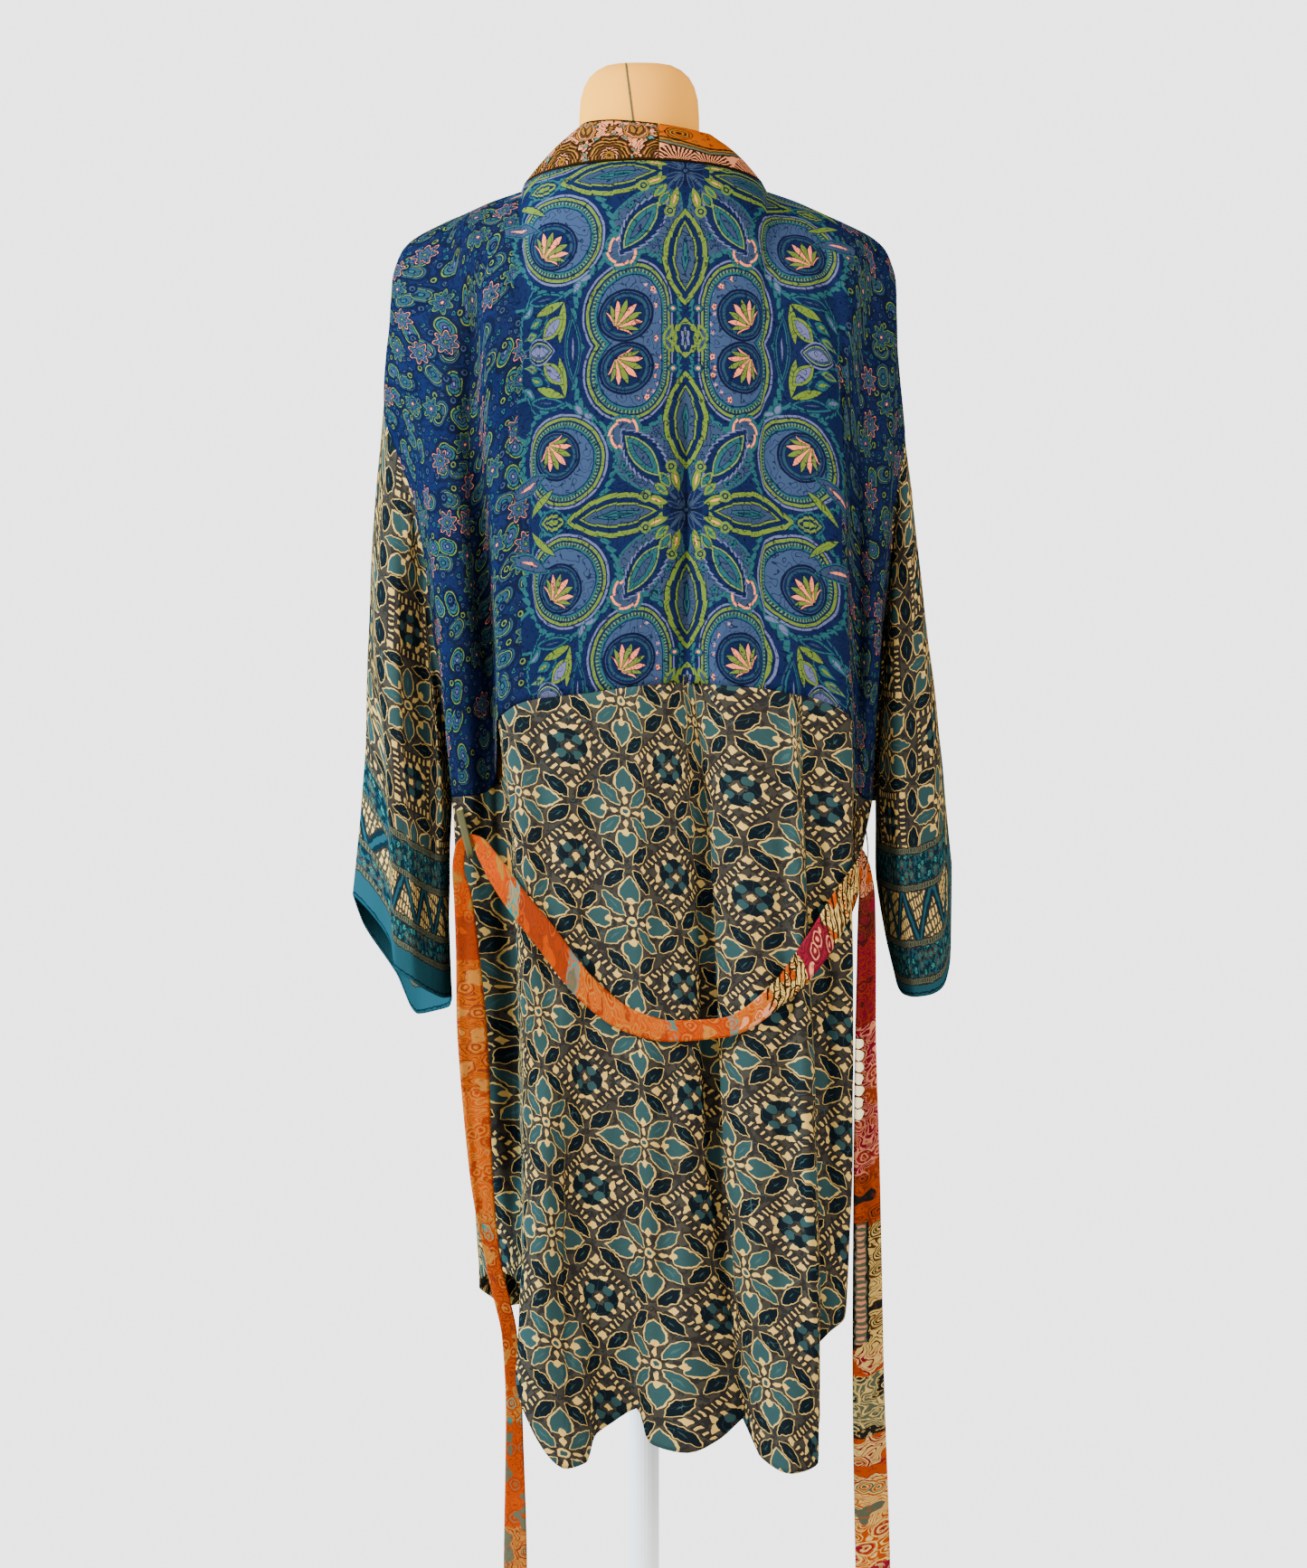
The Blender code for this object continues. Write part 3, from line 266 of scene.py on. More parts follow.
YOKE_ROWS = (0.0, 0.004, 0.016, 0.04, 0.08, 0.14, 0.21, 0.3, 0.42, 0.54, 0.66, 0.8, 0.9, 1.0)
SKIRT_ROWS = (0.0, 0.08, 0.18, 0.29, 0.4, 0.52, 0.65, 0.77, 0.87, 0.94, 1.0)
SLEEVE_ROWS = (0.0, 0.04, 0.1, 0.18, 0.27, 0.37, 0.48, 0.6, 0.72, 0.84, 0.93, 1.0)
# The two levels of each table of folds, as fractions of the drop
CHEST, WAIST = 0.30, 0.65
HIP_KNEE = (0.30, 0.65)
ELBOW_WRIST = (0.35, 0.70)

# The shoulder line from the neckline outward, as x outward and z, then down each sleeve head
SHOULDER = ((NECK_HALF, NECK_POINT_Z), (0.1260, 1.4002), (0.1500, 1.3895), (0.1770, 1.3772),
            (0.1900, 1.3700), (0.2005, 1.3603), (0.2060, 1.3483), (0.2092, 1.3360))
SLEEVE_HEAD = {
    Side.LEFT: ((0.2102, 1.32), (0.2122, 1.2935), (0.2152, 1.2628), (0.2165, 1.231)),
    Side.RIGHT: ((0.21, 1.316), (0.2108, 1.2853), (0.213, 1.2553), (0.2175, 1.205)),
}

# The yokes' folds, from armhole to armhole at the back and from the front edge outward; a start is the
# way along the shoulder line, or else the last number is the neckline's x
YOKE_BACK = table(Fold, """
armhole_left .244 .19 .04 .1725 .033 .155 .016 .903
wing_return_left .207 .1885 .056 .1712 .047 .1575 .032 .9035
wing_edge_left .165 .185 .076 .173 .073 .159 .052 .904
wing_left .112 .162 .093 .151 .085 .143 .06 .905
wing_inner_left .087 .147 .097 .138 .08 .132 .05 .908
side_valley_left .065 .139 .1 .131 .07 .1235 .05 .916
panel_return_left .053 .135 .1025 .128 .083 .122 .07 .945
panel_crest_left .043 .129 .1065 .1255 .102 .1215 .102 .966
panel_left .017 .109 .112 .1075 .113 .1035 .114 .981
neck_point_left 0 .095 .1145 .093 .1155 .088 .117 .985
neck_left - .079 .1165 .076 .1175 .071 .1195 .987 .084
blade_left - .058 .1185 .056 .119 .054 .121 .989 .06
swell_left - .013 .121 .011 .1215 .009 .122 .995 .014
join - -.012 .1208 -.0125 .1195 -.0125 .1185 .9972 -.012
centre_valley - -.034 .12 -.035 .115 -.036 .112 .998 -.034
swell_right - -.07 .119 -.069 .121 -.068 .1215 .996 -.07
neck_point_right 0 -.1 .115 -.1 .117 -.1 .1195 .993
panel_right .012 -.113 .112 -.115 .115 -.123 .118 .989
panel_outer_right .052 -.146 .1055 -.149 .109 -.148 .11 .983
panel_crest_right .08 -.169 .097 -.172 .1 -.1718 .098 .967
panel_return_right .09 -.1735 .093 -.174 .079 -.1725 .066 .942
side_valley_right .101 -.179 .088 -.179 .068 -.1755 .048 .912
wing_right .128 -.19 .081 -.187 .072 -.182 .046 .903
wing_edge_right .168 -.2055 .064 -.197 .059 -.1895 .037 .901
wing_return_right .215 -.2055 .047 -.1963 .043 -.1893 .025 .901
armhole_right .262 -.2065 .032 -.1973 .029 -.1885 .012 .901
""")
YOKE_FRONT = {
    Side.LEFT: table(Fold, """
front_edge 0 .112 -.116 .109 -.118 .105 -.112 .975
swell .045 .138 -.109 .133 -.116 .127 -.115 .968
valley .09 .16 -.094 .148 -.086 .138 -.075 .948
lobe .14 .18 -.08 .163 -.08 .15 -.062 .925
return .195 .192 -.056 .172 -.048 .156 -.025 .908
armhole .244 .193 -.04 .1735 -.026 .155 .0155 .903
"""),
    Side.RIGHT: table(Fold, """
front_edge 0 -.114 -.116 -.112 -.118 -.108 -.112 .972
swell .04 -.139 -.108 -.138 -.115 -.134 -.116 .966
valley .09 -.164 -.092 -.162 -.083 -.156 -.073 .944
lobe .145 -.185 -.078 -.182 -.078 -.175 -.06 .92
return .208 -.204 -.053 -.195 -.046 -.187 -.025 .905
armhole .262 -.2065 -.035 -.197 -.022 -.1885 .0115 .901
"""),
}

# The skirts' folds; a start counts the yoke's folds
SKIRT_BACK = table(Fold, """
side_seam_left 0 .153 .014 .146 .012 .125 .012 .5075
side_left 2 .151 .038 .142 .036 .12 .038 .507
side_crest_left 3.2 .14 .05 .13 .05 .113 .048 .508
side_valley_left 5 .118 .053 .11 .058 .106 .058 .503
return_left 6 .109 .08 .1015 .085 .099 .083 .488
crest_left 7 .1055 .113 .0995 .116 .099 .104 .465
crest_out_left 7.3 .102 .119 .0975 .126 .1055 .124 .4265
shoulder_left 8 .092 .121 .088 .13 .093 .143 .385
lobe_1 9.9 .071 .121 .066 .128 .064 .15 .3515
lobe_1_inner 11 .055 .12 .054 .118 .0465 .137 .357
notch_1_outer 11.3 .045 .12 .046 .112 .041 .117 .376
notch_1 11.7 .027 .121 .026 .112 .024 .108 .389
notch_1_inner 12 .008 .122 .006 .117 .006 .113 .3995
lobe_2_left 12.5 -.004 .121 -.007 .122 -.005 .133 .372
lobe_2 13.4 -.024 .118 -.03 .123 -.036 .143 .364
lobe_2_right 13.85 -.038 .112 -.048 .112 -.064 .13 .376
centre_valley 14 -.0455 .107 -.0565 .103 -.0815 .11 .391
lobe_3_left 14.2 -.053 .112 -.066 .112 -.095 .13 .362
lobe_3 15 -.08 .121 -.097 .127 -.121 .146 .347
crest_right 16.8 -.124 .121 -.134 .132 -.1435 .128 .356
crest_edge_right 17.05 -.1285 .115 -.1365 .12 -.144 .108 .385
valley_right 17.3 -.1315 .106 -.139 .098 -.1405 .085 .442
edge_inner_right 18 -.148 .108 -.152 .1 -.1515 .09 .4595
edge_right 19 -.1715 .095 -.1725 .086 -.166 .08 .473
return_right 20.5 -.1725 .07 -.1725 .06 -.168 .055 .49
side_right 22.5 -.17 .036 -.168 .032 -.163 .03 .498
side_seam_right 25 -.168 .01 -.165 .007 -.158 .006 .5
""")
SKIRT_FRONT = {
    Side.LEFT: table(Fold, """
front_edge 0 .102 -.11 .1 -.108 .098 -.106 .478
swell 1 .122 -.119 .12 -.125 .118 -.128 .474
valley 2 .133 -.08 .129 -.084 .126 -.086 .482
lobe 3 .148 -.065 .143 -.07 .138 -.074 .492
return 4 .152 -.025 .147 -.03 .135 -.032 .502
side_seam 5 .153 .0135 .146 .0115 .125 .0115 .5075
"""),
    Side.RIGHT: table(Fold, """
front_edge 0 -.105 -.11 -.102 -.108 -.1 -.106 .476
swell 1 -.128 -.119 -.124 -.124 -.122 -.127 .472
valley 2 -.143 -.078 -.138 -.082 -.134 -.085 .48
lobe 3 -.16 -.062 -.155 -.068 -.15 -.072 .488
return 4 -.167 -.025 -.164 -.028 -.16 -.03 .496
side_seam 5 -.168 .0095 -.165 .0065 -.158 .0055 .5
"""),
}

# The sleeves' folds, round from the underarm; a start is 1 at the shoulder and 2 at the underarm again
SLEEVE = {
    Side.LEFT: table(Fold, """
inner_fold 0 .1625 .015 .1625 .01 .1605 .004 .735
inner_back .12 .1635 .028 .1625 .026 .16 .02 .738
strip .34 .17 .042 .168 .042 .166 .035 .737
valley .58 .181 .033 .181 .048 .178 .047 .742
main_lobe .79 .203 .057 .196 .062 .193 .059 .752
main_edge .92 .219 .045 .211 .06 .2065 .058 .7625
main_return .96 .223 .03 .213 .04 .21 .036 .781
outer_lobe .984 .2262 .017 .224 .022 .228 .016 .808
head 1 .228 0 .232 -.006 .243 -.012 .8225
front_outer 1.04 .223 -.022 .227 -.036 .236 -.048 .8
front_lobe 1.21 .21 -.048 .212 -.062 .208 -.064 .756
front_low 1.54 .195 -.048 .196 -.056 .189 -.059 .722
front_inner 1.66 .18 -.044 .179 -.045 .1745 -.042 .725
inner_front 1.9 .167 -.024 .166 -.025 .163 -.022 .729
"""),
    Side.RIGHT: table(Fold, """
inner_fold 0 -.1935 .013 -.2 .008 -.211 .002 .748
inner_back .2 -.1945 .03 -.2005 .03 -.2125 .024 .744
strip .46 -.199 .044 -.205 .05 -.216 .043 .74
main_lobe .7 -.209 .058 -.214 .064 -.225 .056 .738
main_outer .86 -.224 .058 -.229 .063 -.2385 .052 .74
outer_lobe .96 -.2335 .038 -.244 .041 -.25 .03 .749
head 1 -.235 0 -.2485 0 -.2555 -.002 .775
front_outer 1.04 -.23 -.026 -.246 -.034 -.257 -.036 .85
front_lobe 1.3 -.218 -.048 -.229 -.058 -.24 -.06 .815
front_low 1.54 -.206 -.046 -.213 -.05 -.223 -.048 .775
inner_front 1.8 -.1965 -.028 -.204 -.028 -.214 -.024 .754
"""),
}

# The neckband's free edge: its station is 0 at the nape, 1 at the shoulder line, 2 at the yoke's lower
# seam and 3 at the hem
BAND = {
    Side.LEFT: table(BandRow, """
0 -.012 .056 1.462
.15 .008 .0555 1.464
.31 .028 .05 1.4655
.49 .0435 .039 1.465
.69 .053 .02 1.461
1 .0565 -.006 1.454
1.025 .058 -.042 1.428
1.07 .058 -.07 1.396
1.15 .057 -.1 1.348
1.3 .054 -.12 1.27
1.65 .05 -.123 1.122
2 .046 -.116 .974
2.32 .043 -.115 .815
2.68 .041 -.112 .636
3 .04 -.11 .477
"""),
    Side.RIGHT: table(BandRow, """
0 -.012 .056 1.462
.15 -.029 .053 1.459
.34 -.045 .043 1.456
.58 -.0555 .024 1.454
1 -.0595 -.006 1.449
1.025 -.06 -.042 1.424
1.07 -.06 -.07 1.393
1.15 -.059 -.1 1.346
1.3 -.056 -.12 1.27
1.65 -.053 -.123 1.122
2 -.049 -.116 .971
2.32 -.046 -.115 .813
2.68 -.043 -.112 .634
3 -.042 -.11 .475
"""),
}
BAND_SPACES = 12        # spaces across the neckband
BAND_BULGE = 0.0030     # how far the doubled band rounds outward

# The sash, from its left free end through both belt loops to its right free end
SASH = table(SashRow, """
.1065 .074 .205 .02 - 0
.1065 .074 .265 .0195 - 0
.1075 .0745 .395 .014 - 0
.111 .0745 .455 .013 - 0
.124 .074 .515 .013 - 0
.1345 .074 .59 .019 - 0
.1418 .072 .7025 .025 - 0
.1465 .07 .78 .019 - 0
.15 .07 .82 .015 - 0
.1538 .07 .845 .01 - 0
.1518 .0705 .862 .0095 - 0
.145 .0715 .868 .01 - 0
.1375 .0745 .866 .011 - 0
.1295 .096 .855 .015 - 0
.119 .118 .839 .0185 - 0
.106 .123 .82 .02 .004 0
.084 .125 .7925 .021 .004 0
.0465 .125 .745 .0208 .004 0
.013 .125 .72 .0196 .004 0
-.021 .125 .711 .0178 .0045 0
-.066 .125 .714 .0165 .0055 0
-.111 .126 .742 .019 .0045 0
-.141 .122 .778 .024 .004 0
-.162 .115 .813 .022 .0045 10
-.174 .109 .837 .015 - 40
-.1795 .098 .85 .011 - 65
-.18 .085 .856 .01 - 75
-.181 .073 .8545 .01 - 65
-.1835 .065 .844 .011 - 40
-.1848 .06 .82 .014 - 15
-.1845 .056 .76 .016 - 0
-.184 .052 .71 .017 - 0
-.185 .048 .59 .022 - 0
-.186 .045 .44 .026 - 0
-.19 .045 .265 .029 - 0
-.191 .045 .205 .029 - 0
""")
SASH_STEPS = 12         # steps from one row of the sash to the next
TURN_WEIGHT = 0.001     # keeps the sash's turn out of the way along it
SASH_REACH = 0.016      # how wide a patch of skirt holds the sash off

# The belt loops hang from the side seams
BELT_LOOPS = (
    BeltLoop("belt_loop_left", (0.153, 0.06, 0.893), (0.143, 0.0755, 0.8535), (0, 1, 0), 0.0065, 0.006),
    BeltLoop("belt_loop_right", (-0.18, 0.0535, 0.893), (-0.1795, 0.085, 0.844), (1, 0, 0), 0.006, 0.0035),
)
LOOP_FULLNESS = 1.54    # makes the drop-shaped ring as wide as its row says
LOOP_ROUND = 0.4        # how round the ring is at its top, from a point at 0

# Creases: width, depth and lean, then the places of the line
YOKE_CREASES = table(Crease, """
.0055 .0062 .25 757,430 758,520 757,640 757,770
.01 -.0021 0 772,420 776,540 775,700 772,770
.01 -.0018 0 739,450 736,560 738,700 740,770
.016 .0018 0 640,205 612,330 590,480 582,640
.02 -.0014 0 690,200 684,330 676,520
.017 .0016 0 815,205 838,330 852,520 856,700
.0085 .0075 .2 545,235 524,330 517,470 526,620 541,770
.011 -.0027 0 500,250 492,380 500,560 512,760
.009 .0023 0 465,300 462,420 474,600 492,800
.0085 .0065 -.2 905,250 930,380 943,560 945,760
.009 .0018 0 960,280 965,420 962,600 958,800
.008 .0012 0 600,735 650,712 700,722
.008 .0012 0 800,725 860,705 915,730
.011 .0009 0 560,560 620,590 700,600
.011 .0009 0 800,600 870,580 930,540
""")
SKIRT_CREASES = table(Crease, """
.0075 .011 .2 546,790 552,900 558,1080 562,1250 568,1390
.006 .02 .35 765,755 771,850 776,1000 781,1137 787,1300 805,1450
.012 .0085 -.2 640,1180 637,1330 632,1480 640,1600
.011 -.0045 0 610,1100 604,1300 600,1500
.013 -.0055 0 668,1240 672,1400 680,1560
.007 -.0065 .3 876,790 883,1022 890,1252 895,1400 902,1560
.009 .0056 0 862,800 866,1020 868,1250 862,1480
.008 .007 -.3 905,820 912,1022 918,1252 922,1400
.015 -.004 0 700,790 706,1000 712,1250 716,1500
.012 .0038 0 655,780 652,980 648,1180
.01 .0046 0 595,790 606,1000 612,1200
.013 -.0038 0 820,790 826,980 832,1240 838,1480
.011 .0052 0 742,1150 738,1330 728,1540
""")
SASH_CREASES = table(Crease, """
.0035 .0018 0 545,965 590,1030 650,1090 720,1128 790,1132
.004 .0015 0 515,990 514,1120 528,1300 545,1450
.005 .0015 0 955,1000 952,1200 956,1400 966,1600
""")
SLEEVE_CREASES = {
    Side.LEFT: table(Crease, """
.008 .004 0 440,520 448,680 452,850 450,1020
.006 -.0026 0 420,620 416,760 412,900
.006 .0031 0 470,650 478,800 480,980
"""),
    Side.RIGHT: table(Crease, """
.008 .004 0 1010,560 1018,720 1024,900 1022,1060
.006 -.0026 0 992,640 994,800 998,980
"""),
}


def refine(rows: Sequence[float], parts: int) -> np.ndarray:
    """Return rising rows with each space between them cut into parts."""
    places = np.linspace(0, len(rows) - 1, (len(rows) - 1) * parts + 1)
    return np.interp(places, np.arange(len(rows)), rows)


def monotone(knots: Any, values: Any, places: Any) -> np.ndarray:
    """Read a smooth curve that never overshoots its values.

    Args:
        knots: where the values are, rising.
        values: one row of numbers for each knot.
        places: where to read.

    Returns:
        One row of numbers for each place.
    """
    knots, values, places = (np.asarray(part, float) for part in (knots, values, places))
    spans = np.diff(knots)[:, None]
    rises = np.diff(values, axis=0) / spans
    before, after = rises[:-1], rises[1:]
    same_way = before * after > 0
    total = np.where(same_way, before + after, 1.0)
    slopes = np.concatenate((rises[:1], np.where(same_way, 2 * before * after / total, 0.0), rises[-1:]))
    index = np.clip(np.searchsorted(knots, places, side="right") - 1, 0, len(knots) - 2)
    span = spans[index]
    t = (places - knots[index])[:, None] / span
    start = (2 * t**3 - 3 * t**2 + 1) * values[index]
    leave = (t**3 - 2 * t**2 + t) * span * slopes[index]
    end = (3 * t**2 - 2 * t**3) * values[index + 1]
    arrive = (t**3 - t**2) * span * slopes[index + 1]
    return start + leave + end + arrive


def along_folds(points: Any, places: np.ndarray) -> np.ndarray:
    """Read the smooth line through points.

    Args:
        points: the line's points.
        places: where to read, counted in points.

    Returns:
        The line's points at the places.
    """
    points = np.asarray(points, float)
    knots = chords(points)
    return monotone(knots, points, np.interp(places, np.arange(len(points)), knots))


def level(folds: Sequence[Fold], places: np.ndarray, name: str, axes: str = "xy") -> np.ndarray:
    """Read the smooth line through one level of a table of folds.

    Args:
        folds: the table.
        places: where to read, counted in folds.
        name: the level.
        axes: its numbers.

    Returns:
        One point for each place.
    """
    return along_folds([[getattr(fold, f"{name}_{axis}") for axis in axes] for fold in folds], places)


def fall(folds: Sequence[Fold], places: np.ndarray, top: np.ndarray, fractions: Sequence[float],
         rows: np.ndarray) -> np.ndarray:
    """Read the smooth lines that fall from a seam through the levels of a table.

    Args:
        folds: the table.
        places: where to read, counted in folds.
        top: the seam's points.
        fractions: where the two levels are in the drop.
        rows: where to read in the drop.

    Returns:
        The points, [row][column].
    """
    end = level(folds, places, "end", "xyz")
    levels = [top]
    for name, fraction in zip(("upper", "lower"), fractions):
        z = top[:, 2] + (end[:, 2] - top[:, 2]) * fraction
        levels.append(np.column_stack((level(folds, places, name), z)))
    stack = np.stack((*levels, end)).reshape(4, -1)
    return monotone((0.0, *fractions, 1.0), stack, rows).reshape(len(rows), -1, 3)


def unit(vectors: np.ndarray) -> np.ndarray:
    """Return the vectors at length one."""
    return vectors / np.maximum(np.linalg.norm(vectors, axis=-1, keepdims=True), 1e-12)


def face_way(grid: np.ndarray, inward: float) -> np.ndarray:
    """Return the way into the robe at each point of a sheet whose inside is on the side given as 1 or -1."""
    return unit(np.cross(np.gradient(grid, axis=1), np.gradient(grid, axis=0))) * inward


def fold_place(name: str) -> int:
    """Return a fold's place in the back yoke's table."""
    return [fold.name for fold in YOKE_BACK].index(name)


@dataclass
class Robe:
    """The middle surfaces of the robe, each worked out from its table and its neighbours' seams."""

    steps: int                  # columns between two folds
    row_parts: int              # rows for each row of the solids
    tuck: float = 0.006         # how far an edge goes in behind its neighbour
    tuck_depth: float = 0.0013  # how deep behind it that is
    turn_up: float = 0.0008     # where a skirt's edge turns in
    turn_depth: float = 0.0009

    def lay(self) -> None:
        """Lay every sheet of the robe's body."""
        self.yoke_rows = refine(YOKE_ROWS, self.row_parts)
        self.skirt_rows = refine(SKIRT_ROWS, self.row_parts + 2)
        self.sleeve_rows = refine(SLEEVE_ROWS, self.row_parts)
        self.back_yoke = self.lay_yoke(YOKE_BACK)
        self.back_skirt = self.lay_skirt(SKIRT_BACK, self.back_yoke[-1])
        self.front_yoke = {side: self.lay_yoke(YOKE_FRONT[side]) for side in Side}
        self.front_skirt = {
            side: self.lay_skirt(SKIRT_FRONT[side], self.front_yoke[side][-1]) for side in Side}
        self.sleeve = {side: self.lay_sleeve(side) for side in Side}
        self.band = {side: self.lay_band(side) for side in Side}

    @staticmethod
    def shoulder_point(side: Side, along: float) -> np.ndarray:
        """Find a point of the shoulder line.

        Args:
            side: which shoulder.
            along: the way along it from the neckline.

        Returns:
            The point.
        """
        line = np.array([(side.value * out, 0.0, z) for out, z in SHOULDER + SLEEVE_HEAD[side]])
        knots = chords(line)
        return monotone(knots, line, [min(max(along, 0.0), knots[-1])])[0]

    def yoke_top(self, folds: Sequence[Fold], place: float) -> np.ndarray:
        """Find where a yoke starts.

        Args:
            folds: the yoke's folds.
            place: the place, counted in folds.

        Returns:
            The point on the shoulder line or the neckline.
        """
        before = folds[int(place)]
        after = folds[min(int(place) + 1, len(folds) - 1)]
        share = place - int(place)
        if before.start is not None and after.start is not None:
            side = Side.LEFT if before.end_x > 0 else Side.RIGHT
            return self.shoulder_point(side, before.start + (after.start - before.start) * share)
        ends = [math.copysign(NECK_HALF, fold.end_x) if fold.neck_x is None else fold.neck_x
                for fold in (before, after)]
        x = ends[0] + (ends[1] - ends[0]) * share
        rise = math.sqrt(max(0.0, 1.0 - (x / NECK_HALF) ** 2))
        return np.array((x, NAPE_Y * rise, NECK_POINT_Z + (NAPE_Z - NECK_POINT_Z) * rise))

    def lay_yoke(self, folds: Sequence[Fold]) -> np.ndarray:
        """Lay a yoke.

        Args:
            folds: its folds.

        Returns:
            Its points, [row][column].
        """
        places = np.linspace(0, len(folds) - 1, (len(folds) - 1) * self.steps + 1)
        top = np.array([self.yoke_top(folds, place) for place in places])
        seam = level(folds, places, "end", "xyz")
        chest = level(folds, places, "upper")
        flat = np.stack([chest, level(folds, places, "lower"), seam[:, :2]]).reshape(3, -1)
        grid = []
        for row in self.yoke_rows:
            z = top[:, 2] + (seam[:, 2] - top[:, 2]) * row
            if row < CHEST:
                near = row / CHEST
                turn = math.sqrt(1.0 - (1.0 - near) ** 2)
                ease = near * near * (3 - 2 * near)
                x = top[:, 0] + (chest[:, 0] - top[:, 0]) * ease
                y = top[:, 1] + (chest[:, 1] - top[:, 1]) * turn
            else:
                x, y = monotone((CHEST, WAIST, 1.0), flat, [row])[0].reshape(-1, 2).T
            grid.append(np.column_stack((x, y, z)))
        return np.array(grid)

    def lay_skirt(self, folds: Sequence[Fold], yoke_seam: np.ndarray) -> np.ndarray:
        """Lay a skirt, hanging from its yoke's lower seam.

        Args:
            folds: the skirt's folds.
            yoke_seam: the seam's points.

        Returns:
            The skirt's points, [row][column].
        """
        fold_places = np.arange(len(folds))
        seams = [fold.start for fold in folds]
        columns = np.arange(len(yoke_seam)) / self.steps
        places = np.union1d(np.interp(columns, seams, fold_places).round(4), fold_places)
        at = np.interp(places, fold_places, seams)
        top = np.column_stack([np.interp(at, columns, yoke_seam[:, axis]) for axis in range(3)])
        run = np.gradient(top, axis=0)
        steep = abs(run[:, 2]) / np.linalg.norm(run, axis=1)
        top[:, 2] -= SEAM_GAP + STEEP_GAP * steep
        return fall(folds, places, top, HIP_KNEE, self.skirt_rows)

    def covers(self, side: Side) -> tuple[np.ndarray, np.ndarray]:
        """Return one side's back and front yoke with the armhole as first column."""
        return self.back_yoke[:, ::side.value], self.front_yoke[side][:, ::-1]

    def past_edge(self, cover: np.ndarray) -> np.ndarray:
        """Move the armhole edge of a yoke out past itself.

        Args:
            cover: the yoke's points, the armhole as first column.

        Returns:
            The moved edge's points.
        """
        edge = cover[:, 0]
        run = unit(np.gradient(edge, axis=0))
        out = edge - cover[:, 1]
        out -= (out * run).sum(axis=1)[:, None] * run
        moved = edge + unit(out) * ARMHOLE_GAP
        moved[:, 0] += np.sign(edge[:, 0]) * ARMHOLE_OUT * np.clip(self.yoke_rows / CHEST, 0, 1)
        return moved

    def lay_sleeve(self, side: Side) -> np.ndarray:
        """Lay a sleeve: a tube from its armhole, its head carried in behind the yokes.

        Args:
            side: the wearer's side.

        Returns:
            Its points, [row][column].
        """
        folds = SLEEVE[side]
        back, front = map(self.past_edge, self.covers(side))
        shares = 1.0 - self.yoke_rows
        way = np.concatenate((shares[::-1], 2.0 - shares[1:]))
        head = np.concatenate((back[::-1], front[1:]))
        low = np.clip(1.0 - (1.0 - abs(way - 1.0)) / UNDERARM_SHARE, 0.0, 1.0) ** 2
        head[:, 0] += side.value * UNDERARM_OUT * low
        head[:, 1] += np.where(way < 1.0, UNDERARM_SPREAD, -UNDERARM_SPREAD) * low
        holes = [fold.start for fold in folds] + [2.0 + UNDERARM_WAY]
        places = np.interp(way, holes, np.arange(len(holes)))
        tube = fall((*folds, folds[0]), places, head, ELBOW_WRIST, self.sleeve_rows)
        lines = []
        for cover, inward in zip(self.covers(side), (side.value, -side.value)):
            reach = np.linalg.norm(np.diff(cover, axis=1), axis=2).cumsum(axis=1).mean(axis=0)
            column = int(np.searchsorted(reach, self.tuck)) + 1
            lines.append(cover[:, column] + face_way(cover, inward)[:, column] * self.tuck_depth)
        tucked = np.concatenate((lines[0][::-1], lines[1][1:]))
        return np.concatenate((tucked[None], tube))

    def lay_band(self, side: Side) -> np.ndarray:
        """Lay a neckband, from its seam across to its free edge.

        Args:
            side: the wearer's side.

        Returns:
            Its points, [row][column].
        """
        join = fold_place("join") * self.steps
        end = fold_place(f"neck_point_{side.word}") * self.steps
        neck = self.back_yoke[0, min(join, end):max(join, end) + 1][::-side.value]
        seam_line = np.concatenate((neck, self.front_yoke[side][1:, 0], self.front_skirt[side][1:, 0]))
        neck_way = chords(neck)
        stations = np.concatenate(
            (neck_way / neck_way[-1], 1.0 + self.yoke_rows[1:], 2.0 + self.skirt_rows[1:]))
        rows = np.array(BAND[side])
        free_line = monotone(rows[:, 0], rows[:, 1:], stations)
        across = free_line - seam_line
        seam_line = seam_line + unit(across) * COLLAR_GAP
        outward = unit(np.cross(across, np.gradient(seam_line, axis=0))) * side.value
        shares = np.linspace(0, 1, BAND_SPACES + 1)
        band = np.array([
            seam_line + (free_line - seam_line) * share + outward * (BAND_BULGE * math.sin(math.pi * share))
            for share in shares
        ]).transpose(1, 0, 2)
        band[0, :, 0] += side.value * JOIN_GAP / 2
        return band

    def tuck_skirt(self, skirt: np.ndarray, inward: float) -> np.ndarray:
        """Carry a skirt's upper edge up behind its yoke.

        Args:
            skirt: the skirt's points.
            inward: which side of the sheet is its inside.

        Returns:
            The skirt's points with two more rows above them.
        """
        way = face_way(skirt, inward)[0]
        up = unit(skirt[0] - skirt[1])
        low = skirt[0] + up * self.turn_up + way * self.turn_depth
        high = skirt[0] + up * self.tuck + way * self.tuck_depth
        return np.concatenate((high[None], low[None], skirt))


class Cut(NamedTuple):
    """Where a sheet's points lay on its flat cloth, in metres, [row][column]."""

    u: np.ndarray
    v: np.ndarray


